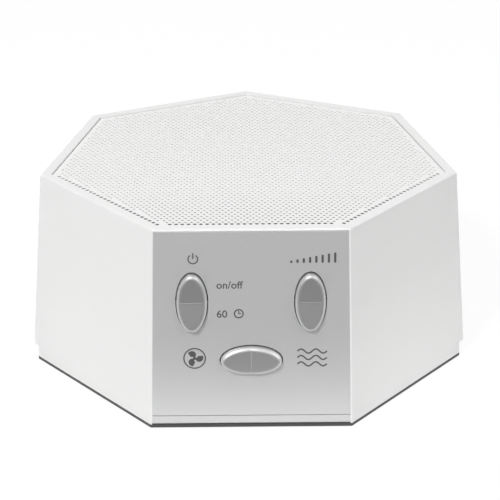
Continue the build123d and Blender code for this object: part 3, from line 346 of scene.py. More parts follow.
def seven_sided(apothem: float, per_side: int) -> Array:
    """Points round a regular seven-sided outline.

    Its distance from the axis at angle t is apothem / cos(t), with t counted from the middle of
    the side, and points on a side are evenly spaced along it.

    Args:
        apothem: axis to the middle of a side.
        per_side: points per side.

    Returns:
        Rows of x and y.
    """
    along = np.linspace(-1, 1, per_side, endpoint=False) * apothem * HALF_SIDE
    normals = side_normals()
    tangents = np.stack([-normals[:, 1], normals[:, 0]], axis=1)
    return (apothem * normals[:, None] + along[None, :, None] * tangents[:, None]).reshape(-1, 2)


@dataclass(frozen=True)
class Place:
    """Local axes of a piece: point (x, y, z) in millimetres goes to origin + x X + y Y + z Z.

    Attributes:
        origin: in metres.
        x_dir: unit vector.
        y_dir: unit vector.
        z_dir: unit vector.
    """

    origin: Array = field(default_factory=lambda: np.zeros(3))
    x_dir: Array = field(default_factory=lambda: np.array([1.0, 0, 0]))
    y_dir: Array = field(default_factory=lambda: np.array([0, 1.0, 0]))
    z_dir: Array = field(default_factory=lambda: np.array([0, 0, 1.0]))

    def put(self, points: Array) -> Array:
        """Points in metres in the object's own frame."""
        return self.origin + MM * (points @ np.stack([self.x_dir, self.y_dir, self.z_dir]))

    def moved(self, x: float, y: float, z: float) -> "Place":
        """The same axes from another origin, given in this place's own millimetres."""
        return Place(self.put(np.array([x, y, z])), self.x_dir, self.y_dir, self.z_dir)


WORLD = Place()


def weld(mesh: bpy.types.Mesh) -> None:
    """Joins points that meet, drops faces without area and turns all faces outwards.

    Args:
        mesh: the mesh, which is changed in place.
    """
    work = bmesh.new()
    work.from_mesh(mesh)
    bmesh.ops.remove_doubles(work, verts=work.verts, dist=WELD_GAP)
    bmesh.ops.dissolve_degenerate(work, edges=work.edges, dist=WELD_GAP / 10)
    bmesh.ops.recalc_face_normals(work, faces=work.faces)
    work.to_mesh(mesh)
    work.free()


def build_mesh(name: str, surface: Surface, place: Place, smooth: float) -> bpy.types.Mesh:
    """Mesh from a surface, welded where points meet and with its faces outwards.

    Args:
        name: the mesh's name.
        surface: its points and faces.
        place: where it stands.
        smooth: edges sharper than this many degrees stay sharp.

    Returns:
        The mesh.
    """
    mesh = bpy.data.meshes.new(name)
    loops = np.concatenate([face.ravel() for face in surface.faces])
    sizes = np.concatenate([np.full(len(face), face.shape[1]) for face in surface.faces])
    mesh.vertices.add(len(surface.points))
    mesh.vertices.foreach_set("co", place.put(surface.points).astype(np.float32).ravel())
    mesh.loops.add(len(loops))
    mesh.loops.foreach_set("vertex_index", loops.astype(np.int32))
    mesh.polygons.add(len(sizes))
    mesh.polygons.foreach_set("loop_start", (np.cumsum(sizes) - sizes).astype(np.int32))
    # Painted shade or highlight goes in as the mesh's shade attribute.
    if surface.shade is not None:
        shade = mesh.attributes.new("shade", "FLOAT", "POINT")
        shade.data.foreach_set("value", surface.shade.astype(np.float32))
    mesh.update(calc_edges=True)
    mesh.validate()
    weld(mesh)
    mesh.polygons.foreach_set("use_smooth", np.ones(len(mesh.polygons), bool))
    mesh.set_sharp_from_angle(angle=np.radians(smooth))
    return mesh


# ---------------------------------------------------------------- shared effects
class Graph:
    """Short hand for filling one node tree."""

    def __init__(self, tree: bpy.types.NodeTree) -> None:
        """Empties the tree and keeps it."""
        self.tree = tree
        tree.nodes.clear()

    def add(self, kind: str, inputs: dict | None = None, **settings: object) -> bpy.types.Node:
        """Adds a node.

        Args:
            kind: the node's type name.
            inputs: values or sockets by input name or number.
            settings: the node's own properties.

        Returns:
            The node.
        """
        node = self.tree.nodes.new(kind)
        for key, value in settings.items():
            setattr(node, key, value)
        for key, value in (inputs or {}).items():
            if isinstance(value, bpy.types.NodeSocket):
                self.tree.links.new(value, node.inputs[key])
            else:
                node.inputs[key].default_value = value
        return node

    def math(self, operation: str, *values: object) -> Socket:
        """Result of a Math node."""
        return self.add("ShaderNodeMath", dict(enumerate(values)), operation=operation).outputs[0]

    def mix(self, factor: object, first: object, second: object) -> Socket:
        """Result of a Mix node set to colours, whose colour sockets are inputs 6 and 7 and output 2."""
        return self.add("ShaderNodeMix", {0: factor, 6: first, 7: second}, data_type="RGBA").outputs[2]

    def ramp(self, value: object, low: float, high: float, to_low: float, to_high: float) -> Socket:
        """Result of a Map Range node that clamps."""
        inputs = {"Value": value, "From Min": low, "From Max": high, "To Min": to_low, "To Max": to_high}
        return self.add("ShaderNodeMapRange", inputs).outputs[0]

    def blend(self, share: Socket, first: bpy.types.Node, second: bpy.types.Node) -> bpy.types.Node:
        """Shader that goes from the first to the second as the share goes from 0 to 1."""
        inputs = {0: share, 1: first.outputs[0], 2: second.outputs[0]}
        return self.add("ShaderNodeMixShader", inputs)

    def noise(self, where: Socket, scale: Socket, detail: float, rough: float = 0.5) -> Socket:
        """Value of a Noise Texture."""
        inputs = {"Vector": where, "Scale": scale, "Detail": detail, "Roughness": rough}
        return self.add("ShaderNodeTexNoise", inputs).outputs[0]

    def axes(self, where: Socket) -> bpy.types.NodeOutputs:
        """The x, y and z of a vector."""
        return self.add("ShaderNodeSeparateXYZ", {0: where}).outputs

    def own_coordinates(self) -> Socket:
        """The piece's Object coordinates."""
        return self.add("ShaderNodeTexCoord").outputs["Object"]


class Relief(Enum):
    """The fine pattern that a finish carries."""

    GRAIN = "moulded_grain"
    BRUSHED = "brushed_lines"
    WEAVE = "thread_weave"
    TRACKS = "board_tracks"
    FLAKE = "metal_flake"
    RINGS = "turned_rings"
    CELLS = "open_cells"


@dataclass
class Pattern:
    """The fine patterns, each of them a height and a shade that change over the surface.

    Attributes:
        graph: the graph that the pattern is put in.
        where: the surface's coordinates.
        scale: one over the pattern's step.
    """

    graph: Graph
    where: Socket
    scale: Socket

    def wider(self, times: float) -> Socket:
        """Scale of a pattern that is some times as wide."""
        return self.graph.math("DIVIDE", self.scale, times)

    def moulded_grain(self) -> HeightShade:
        """Spark-eroded mould grain: fine noise, with a cloud 40 times as wide for the shade."""
        fine = self.graph.noise(self.where, self.scale, detail=2.0, rough=0.6)
        return fine, self.graph.noise(self.where, self.wider(40.0), detail=3.0)

    def brushed_lines(self) -> HeightShade:
        """Brushing: noise on coordinates that are stretched 25 times along X.

        Returns:
            The lines, and a cloud 30 times as wide as their step for the shade.
        """
        stretch = (1 / 25, 1.0, 1.0)
        stretched = self.graph.add("ShaderNodeMapping", {"Vector": self.where, "Scale": stretch})
        lines = self.graph.noise(stretched.outputs[0], self.scale, detail=3.0)
        return lines, self.graph.noise(self.where, self.wider(30.0), detail=2.0)

    def thread_weave(self) -> HeightShade:
        """Plain weave: threads along X and Y take turns on top.

        With a = pi x / step and b = pi y / step, the turn is half of 1 + sin a sin b, and the
        height is the turn times the larger of |sin a| and |sin b|, which rounds the threads.

        Returns:
            The height and the turn.
        """
        graph = self.graph
        axes = graph.axes(self.where)
        angle = graph.math("MULTIPLY", self.scale, np.pi)
        sine_x, sine_y = (graph.math("SINE", graph.math("MULTIPLY", axes[i], angle)) for i in range(2))
        turn = graph.math("MULTIPLY_ADD", graph.math("MULTIPLY", sine_x, sine_y), 0.5, 0.5)
        size_x, size_y = (graph.math("ABSOLUTE", sine) for sine in (sine_x, sine_y))
        return graph.math("MULTIPLY", turn, graph.math("MAXIMUM", size_x, size_y)), turn

    def board_tracks(self) -> HeightShade:
        """Copper under the mask: the borders of uneven bricks read as tracks, and round spots as pads.

        Returns:
            One mask, for height and shade.
        """
        graph = self.graph
        bricks = {"Vector": self.where, "Scale": self.scale, "Bias": 0.0}
        borders = {"Mortar Size": 0.09, "Mortar Smooth": 0.1}
        uneven = {"offset": 0.37, "squash": 1.6, "squash_frequency": 3}
        tracks = graph.add("ShaderNodeTexBrick", bricks | borders, **uneven)
        spots = {"Vector": self.where, "Scale": self.wider(3.0), "Randomness": 0.8}
        distance = graph.add("ShaderNodeTexVoronoi", spots).outputs["Distance"]
        pad_edge = (0.16, 0.2)
        pads = graph.ramp(distance, *pad_edge, 1.0, 0.0)
        mask = graph.math("MAXIMUM", tracks.outputs["Fac"], pads)
        return mask, mask

    def metal_flake(self) -> HeightShade:
        """Flakes in silver paint: small cells, each with a brightness of its own.

        Returns:
            Fine noise, and the flakes for the shade.
        """
        cells = self.graph.add("ShaderNodeTexVoronoi", {"Vector": self.where, "Scale": self.scale})
        flake = self.graph.add("ShaderNodeSeparateColor", {0: cells.outputs["Color"]}).outputs[0]
        return self.graph.noise(self.where, self.scale, detail=2.0), flake

    def turned_rings(self) -> HeightShade:
        """Lathe marks and pressed ribs: half of 1 + sin(2 pi r / step), with r counted from Z.

        Returns:
            The rings, and fine noise for the shade.
        """
        graph = self.graph
        flat = graph.add("ShaderNodeVectorMath", {0: self.where, 1: (1.0, 1.0, 0.0)}, operation="MULTIPLY")
        length = graph.add("ShaderNodeVectorMath", {0: flat.outputs[0]}, operation="LENGTH")
        turns = graph.math("MULTIPLY", length.outputs["Value"], self.scale)
        wave = graph.math("SINE", graph.math("MULTIPLY", turns, 2 * np.pi))
        rings = graph.math("MULTIPLY_ADD", wave, 0.5, 0.5)
        return rings, graph.noise(self.where, self.scale, detail=3.0)

    def open_cells(self) -> HeightShade:
        """Foam: pits at the middles of small cells.

        Returns:
            One depth, for height and shade.
        """
        cells = self.graph.add("ShaderNodeTexVoronoi", {"Vector": self.where, "Scale": self.scale})
        pit_radius = 0.6
        depth = self.graph.ramp(cells.outputs["Distance"], 0.0, pit_radius, 0.0, 1.0)
        return depth, depth


PATTERNS = {
    Relief.GRAIN: Pattern.moulded_grain,
    Relief.BRUSHED: Pattern.brushed_lines,
    Relief.WEAVE: Pattern.thread_weave,
    Relief.TRACKS: Pattern.board_tracks,
    Relief.FLAKE: Pattern.metal_flake,
    Relief.RINGS: Pattern.turned_rings,
    Relief.CELLS: Pattern.open_cells,
}


def effect(relief: Relief) -> bpy.types.NodeTree:
    """The node group of a fine pattern, made at its first use.

    Each group takes Size, the pattern's step in metres, and puts out Height from 0 to 1 and
    Shade, a value about 0.5 that changes over the surface.

    Args:
        relief: which pattern.

    Returns:
        The group.
    """
    found = bpy.data.node_groups.get(relief.value)
    if found:
        return found
    group = bpy.data.node_groups.new(relief.value, "ShaderNodeTree")
    size = group.interface.new_socket("Size", in_out="INPUT", socket_type="NodeSocketFloat")
    size.default_value = 0.5 * MM
    for name in ("Height", "Shade"):
        group.interface.new_socket(name, in_out="OUTPUT", socket_type="NodeSocketFloat")
    graph = Graph(group)
    step = graph.add("NodeGroupInput").outputs["Size"]
    pattern = Pattern(graph, graph.own_coordinates(), graph.math("DIVIDE", 1.0, step))
    height, shade = PATTERNS[relief](pattern)
    graph.add("NodeGroupOutput", {"Height": height, "Shade": shade})
    return group


# ---------------------------------------------------------------- finishes
DARKER = 0.8  # share of the base colour that a second colour has where none is given
SHADE_RANGE = (0.25, 0.75)  # stretch of a pattern's shade over which its second colour grows
PAINTED_FOOT_LIGHT_CURVE = 1.4  # power of the painted light's curve towards the table


@dataclass(frozen=True)
class Finish:
    """One finish: its shader values and the fine pattern on it.

    Attributes:
        name: the material's name.
        color: linear base colour.
        roughness: of the surface.
        metallic: share of metal.
        relief: the fine pattern.
        size: the pattern's step, mm.
        depth: how far it stands up, mm.
        second: colour that the pattern's shade leads to, or None for a darker base colour.
        spread: how much of the second colour shows at full shade.
        coat: weight of a clear coat.
        coat_roughness: of that coat.
        sheen: weight of cloth sheen.
        level: specular level.
        painted_light_color: painted shade or highlight colour that the piece's own shade attribute leads to, or
            None.
        foot: colour of painted light that the finish goes over to at the table, or None.
        painted_foot_light_height: height, mm, where that painted light starts.
    """

    name: str
    color: Color
    roughness: float = 0.5
    metallic: float = 0.0
    relief: Relief = Relief.GRAIN
    size: float = 0.3
    depth: float = 0.004
    second: Color | None = None
    spread: float = 0.06
    coat: float = 0.0
    coat_roughness: float = 0.1
    sheen: float = 0.0
    level: float = 0.5
    painted_light_color: Color | None = None
    foot: Color | None = None
    painted_foot_light_height: float = 27.0

    def material(self) -> bpy.types.Material:
        """The Blender material, made at its first use.

        Returns:
            The material.
        """
        found = bpy.data.materials.get(self.name)
        if found:
            return found
        made = bpy.data.materials.new(self.name)
        made.use_nodes = True
        made.diffuse_color = (*self.color, 1.0)
        self.fill(Graph(made.node_tree))
        return made

    def fill(self, graph: Graph) -> None:
        """Builds the shader: colour and height change over the surface, the rest is constant.

        Args:
            graph: the material's empty graph.
        """
        pattern = graph.add("ShaderNodeGroup", node_tree=effect(self.relief))
        pattern.inputs["Size"].default_value = self.size * MM
        second = self.second or tuple(DARKER * c for c in self.color)
        share = graph.ramp(pattern.outputs["Shade"], *SHADE_RANGE, 0.0, self.spread)
        color = graph.mix(share, (*self.color, 1.0), (*second, 1.0))
        # Painted shade or highlight, as far as the piece's own shade attribute goes.
        if self.painted_light_color:
            own = graph.add("ShaderNodeAttribute", attribute_name="shade").outputs["Fac"]
            color = graph.mix(own, color, (*self.painted_light_color, 1.0))
        # Painted light: towards the table the colour goes over to the foot colour, standing in for light from the
        # bright floor.
        if self.foot:
            height = graph.axes(graph.own_coordinates())[2]
            near = graph.ramp(height, 0.0, self.painted_foot_light_height * MM, 1.0, 0.0)
            color = graph.mix(graph.math("POWER", near, PAINTED_FOOT_LIGHT_CURVE), color, (*self.foot, 1.0))
        relief = {"Height": pattern.outputs["Height"], "Distance": self.depth * MM, "Strength": 1.0}
        bump = graph.add("ShaderNodeBump", relief)
        shader = graph.add(
            "ShaderNodeBsdfPrincipled",
            {
                "Base Color": color,
                "Roughness": self.roughness,
                "Metallic": self.metallic,
                "Specular IOR Level": self.level,
                "Coat Weight": self.coat,
                "Coat Roughness": self.coat_roughness,
                "Sheen Weight": self.sheen,
                "Normal": bump.outputs[0],
            },
        )
        graph.add("ShaderNodeOutputMaterial", {"Surface": shader.outputs[0]})


FINISHES = {
    "white_shell": Finish(
        "satin_white_moulding", (0.83, 0.83, 0.825), 0.42, size=0.22, depth=0.004, spread=0.05
    ),
    "white_grille": Finish(
        "white_painted_mesh", (0.86, 0.86, 0.855), 0.5, size=0.12, depth=0.003, spread=0.04,
        # painted shade colour for the depths of the holes
        painted_light_color=(0.16, 0.16, 0.16),
    ),
    "grille_cloth": Finish(
        "grey_acoustic_cloth", (0.42, 0.42, 0.415), 0.9, relief=Relief.WEAVE, size=0.35, depth=0.06,
        second=(0.30, 0.30, 0.30), spread=0.6, sheen=0.2, level=0.2,
    ),
    "silver_panel": Finish(
        "satin_silver_paint", (0.54, 0.54, 0.545), 0.36, metallic=0.3, relief=Relief.FLAKE, size=0.09,
        # the foot colour is painted light: the panel grows lighter towards the table
        depth=0.001, second=(0.62, 0.62, 0.62), spread=0.3, foot=(0.68, 0.68, 0.685),
    ),
    "grey_rocker": Finish(
        "satin_grey_rocker", (0.455, 0.455, 0.46), 0.42, metallic=0.88, relief=Relief.FLAKE, size=0.08,
        # the last colour is a painted highlight for the rockers' edges
        depth=0.001, second=(0.53, 0.53, 0.53), spread=0.3, painted_light_color=(0.85, 0.85, 0.85),
    ),
    "steel": Finish(
        "bright_steel", (0.62, 0.62, 0.61), 0.28, metallic=1.0, relief=Relief.BRUSHED, size=0.05,
        depth=0.001, spread=0.3,
    ),
    "silicone": Finish(
        "grey_silicone", (0.55, 0.56, 0.57), 0.45, size=0.5, depth=0.004, spread=0.2, coat=0.1
    ),
    "white_inner": Finish(
        "plain_white_moulding", (0.72, 0.72, 0.70), 0.4, size=0.5, depth=0.003, spread=0.12
    ),
    "green_board": Finish(
        "green_solder_mask", (0.012, 0.10, 0.035), 0.3, relief=Relief.TRACKS, size=6.0, depth=0.03,
        second=(0.03, 0.20, 0.07), spread=0.9, coat=0.6,
    ),
    "black_chip": Finish(
        "black_moulding_compound", (0.018, 0.018, 0.019), 0.55, size=0.15, depth=0.006, spread=0.3,
        second=(0.04, 0.04, 0.04),
    ),
    "cream_header": Finish(
        "cream_nylon", (0.72, 0.66, 0.50), 0.4, size=0.4, depth=0.003, spread=0.15
    ),
    "grey_ribbon": Finish(
        "grey_ribbon_vinyl", (0.32, 0.33, 0.35), 0.45, relief=Relief.BRUSHED, size=0.9, depth=0.15,
        second=(0.20, 0.21, 0.23), spread=0.5,
    ),
    "red_lead": Finish(
        "red_vinyl", (0.42, 0.02, 0.015), 0.38, size=0.6, depth=0.004, spread=0.2
    ),
    "black_lead": Finish(
        "black_vinyl", (0.02, 0.02, 0.02), 0.38, size=0.6, depth=0.004, spread=0.4, second=(0.05, 0.05, 0.05)
    ),
    "foam": Finish(
        "black_foam", (0.03, 0.03, 0.03), 0.95, relief=Relief.CELLS, size=0.5, depth=0.15,
        second=(0.008, 0.008, 0.008), spread=0.8, level=0.2,
    ),
    "black_metal": Finish(
        "black_powder_coat", (0.025, 0.025, 0.026), 0.42, size=0.25, depth=0.01, spread=0.4,
        second=(0.05, 0.05, 0.05),
    ),
    "zinc_plate": Finish(
        "zinc_plating", (0.55, 0.54, 0.48), 0.34, metallic=1.0, relief=Relief.RINGS, size=0.7,
        depth=0.002, second=(0.48, 0.44, 0.32), spread=0.5,
    ),
    "ferrite": Finish(
        "grey_ferrite", (0.045, 0.045, 0.05), 0.6, size=0.5, depth=0.012, spread=0.6,
        second=(0.09, 0.09, 0.095),
    ),
    "paper_cone": Finish(
        "black_pressed_paper", (0.035, 0.033, 0.031), 0.85, relief=Relief.RINGS, size=2.4, depth=0.05,
        second=(0.07, 0.065, 0.06), spread=0.6, level=0.25,
    ),
    "former": Finish(
        "brown_kraft_former", (0.30, 0.17, 0.08), 0.7, size=0.6, depth=0.01, spread=0.4
    ),
    "copper": Finish(
        "enamelled_copper", (0.62, 0.22, 0.09), 0.3, metallic=1.0, relief=Relief.BRUSHED, size=0.2,
        depth=0.03, second=(0.40, 0.12, 0.05), spread=0.6,
    ),
    "surround_rubber": Finish(
        "black_surround_rubber", (0.02, 0.02, 0.02), 0.5, size=0.3, depth=0.006, spread=0.5,
        second=(0.04, 0.04, 0.04),
    ),
    "spider_cloth": Finish(
        "tan_treated_cloth", (0.50, 0.34, 0.14), 0.8, relief=Relief.WEAVE, size=0.4, depth=0.05,
        second=(0.30, 0.19, 0.07), spread=0.7, sheen=0.1,
    ),
    "brown_strip": Finish(
        "brown_phenolic", (0.14, 0.06, 0.025), 0.5, size=0.7, depth=0.004, spread=0.5
    ),
    "brass_lug": Finish(
        "tinned_brass", (0.70, 0.62, 0.44), 0.3, metallic=1.0, relief=Relief.BRUSHED, size=0.08,
        depth=0.001, spread=0.4,
    ),
    "charcoal_pan": Finish(
        "charcoal_moulding", (0.055, 0.055, 0.057), 0.55, size=0.3, depth=0.01, spread=0.3,
        second=(0.08, 0.08, 0.08),
    ),
    "mat_rubber": Finish(
        "matt_black_rubber", (0.022, 0.022, 0.022), 0.85, relief=Relief.CELLS, size=0.7, depth=0.04,
        second=(0.035, 0.035, 0.035), spread=0.6, level=0.3,
    ),
    "metal_can": Finish(
        "bright_can", (0.66, 0.66, 0.64), 0.22, metallic=1.0, relief=Relief.BRUSHED, size=0.06,
        depth=0.001, spread=0.25,
    ),
    "capacitor_sleeve": Finish(
        "dark_blue_sleeve", (0.012, 0.016, 0.06), 0.3, size=0.8, depth=0.003, spread=0.3, coat=0.3
    ),
    "socket_black": Finish(
        "black_socket_moulding", (0.02, 0.02, 0.02), 0.32, size=0.4, depth=0.003, spread=0.4,
        second=(0.035, 0.035, 0.035),
    ),
}

PIN = Finish(
    "oiled_steel_pin", (0.10, 0.10, 0.10), 0.4, metallic=1.0, relief=Relief.BRUSHED, size=0.05,
    depth=0.001, spread=0.3,
)
OWN_FINISHES = {f"{name}_pivot_pin": PIN for name in ("power", "volume", "sound")}

INK = Finish("dark_grey_ink", (0.085, 0.085, 0.087), 0.5, size=0.1, depth=0.001, spread=0.3)


# ---------------------------------------------------------------- pieces
def add_object(name: str, data: bpy.types.ID) -> bpy.types.Object:
    """Makes an object and puts it in the scene.

    Args:
        name: the object's name.
        data: its mesh, text, lamp or camera.

    Returns:
        The object.
    """
    made = bpy.data.objects.new(name, data)
    bpy.context.scene.collection.objects.link(made)
    return made


def hang(name: str, mesh: bpy.types.Mesh, body: str, finish: Finish) -> bpy.types.Object:
    """Makes a piece of a finished mesh, dresses it and hangs it on its body.

    Args:
        name: the piece's name.
        mesh: its mesh.
        body: the body that carries it.
        finish: its finish.

    Returns:
        The object.
    """
    piece = add_object(name, mesh)
    mesh.materials.append(finish.material())
    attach(piece, body)
    log.info("%s: %d faces on %s", name, len(mesh.polygons), body)
    return piece


def add_piece(
    name: str,
    surface: Surface,
    slot: str,
    body: str,
    place: Place = WORLD,
    replaces: tuple[str, ...] = (),
    finish: Finish | None = None,
    smooth: float = 40.0,
) -> bpy.types.Object:
    """Makes a piece of the object, gives it its finish and hangs it on its body.

    Args:
        name: the piece's name.
        surface: its shape, in millimetres.
        slot: the record's material slot that it takes its finish from.
        body: the body that carries it.
        place: where it stands.
        replaces: nodes of the model that it stands for.
        finish: its finish, where that isn't the slot's own.
        smooth: edges sharper than this many degrees stay sharp.

    Returns:
        The object.
    """
    mesh = build_mesh(name, surface, place, smooth)
    piece = hang(name, mesh, body, finish or FINISHES[slot])
    if replaces:
        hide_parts(*replaces)
    return piece


def dress_nodes() -> None:
    """Gives every node of the model its own finish, or else that of its slot in the record."""
    for part in frame["record"]["subparts"]:
        node = frame["nodes"][part["node"]]
        finish = OWN_FINISHES.get(part["node"], FINISHES[part["material_slot"]])
        node.data.materials.clear()
        node.data.materials.append(finish.material())
        log.info("%s: dressed as %s", part["node"], part["material_slot"])


def joint(name: str) -> dict:
    """A joint of the frame by name."""
    return next(found for found in frame["joints"] if found["name"] == name)


def corner_mm(node: str) -> tuple[Array, Array]:
    """Lowest and highest corner of a node, in millimetres."""
    low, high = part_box(node)
    return np.array(low) / MM, np.array(high) / MM


@dataclass
class FrontFace:
    """The leaning front face, from the pivots that lie behind it.

    Attributes:
        pivot_depth: pivots behind the face.
    """

    pivot_depth: float = 3.2

    def place(self) -> Place:
        """Axes with X level, Y up the face and Z out of it; Y counts from the table's height.

        Returns:
            The axes.
        """
        lying = joint("sound_rocker_tilt")
        up = np.array(lying["axis"], float)
        right = np.array([1.0, 0.0, 0.0])
        out = np.cross(right, up)
        centre = np.array(lying["pos_m"]) + self.pivot_depth * MM * out
        foot = centre - up * (centre[2] / up[2])
        return Place(np.array([0.0, foot[1], 0.0]), right, up, out)

    def rocker(self, name: str) -> Place:
        """A rocker's own axes: X along its pivot, Y along its length, Z out of the face.

        Args:
            name: power, volume or sound.

        Returns:
            The axes.
        """
        face = self.place()
        found = joint(f"{name}_rocker_tilt")
        along = np.array(found["axis"], float)
        centre = np.array(found["pos_m"]) + self.pivot_depth * MM * face.z_dir
        return Place(centre, along, np.cross(face.z_dir, along), face.z_dir)


CELL_CORNERS = 6
HOLE_POINTS = 8
LEVEL_POINTS = CELL_CORNERS + HOLE_POINTS


def holed_cells(
    middles: Array, cells: Array, radii: Array, painted_light_values: Array, levels: Pair, turn: float = 0.0
) -> Surface:
    """Cells with a hole: six corners and eight hole points on top, and the same underneath.

    The ring between a cell's corners and its hole is fourteen triangles, and the hole's wall
    is eight quads.

    Args:
        middles: rows of x and y.
        cells: cells by 6 by 2.
        radii: radius of each hole.
        painted_light_values: painted shade at the foot of each hole. It is 0 elsewhere.
        levels: heights of the underside and of the top.
        turn: angle of a hole's first point.

    Returns:
        The surface.
    """
    a = turn + np.arange(HOLE_POINTS) * 2 * np.pi / HOLE_POINTS
    hole = middles[:, None] + radii[:, None, None] * np.stack([np.cos(a), np.sin(a)], axis=1)
    flat = np.concatenate([cells, hole], axis=1)
    under, over = (np.insert(flat, 2, z, axis=2) for z in levels)
    points = np.concatenate([over, under], axis=1)
    # From two corners to a hole point, and from a corner to two hole points.
    hexagon = [(0, 1, 1), (1, 2, 3), (2, 3, 4), (3, 4, 5), (4, 5, 7), (5, 0, 0)]
    octagon = [(0, 1, 0), (1, 2, 1), (2, 3, 1), (3, 4, 2), (4, 5, 3), (5, 6, 4), (6, 7, 4), (7, 0, 5)]
    outer_part = [(i, j, CELL_CORNERS + k) for i, j, k in hexagon]
    inner_part = [(CELL_CORNERS + j, CELL_CORNERS + i, k) for i, j, k in octagon]
    ring = np.array(outer_part + inner_part)
    here = CELL_CORNERS + np.arange(HOLE_POINTS)
    ahead = np.roll(here, -1)
    wall = np.stack([here, ahead, ahead + LEVEL_POINTS, here + LEVEL_POINTS], axis=1)
    steps = np.arange(len(middles))[:, None, None] * 2 * LEVEL_POINTS
    rings = np.concatenate([ring, ring[:, ::-1] + LEVEL_POINTS])
    faces = [(rings[None] + steps).reshape(-1, 3), (wall[None] + steps).reshape(-1, 4)]
    # Painted shade at the foot of each hole; the top points get none.
    shade = np.zeros((len(middles), 2 * LEVEL_POINTS))
    shade[:, -HOLE_POINTS:] = painted_light_values[:, None]
    return Surface(points.reshape(-1, 3), faces, shade.ravel())


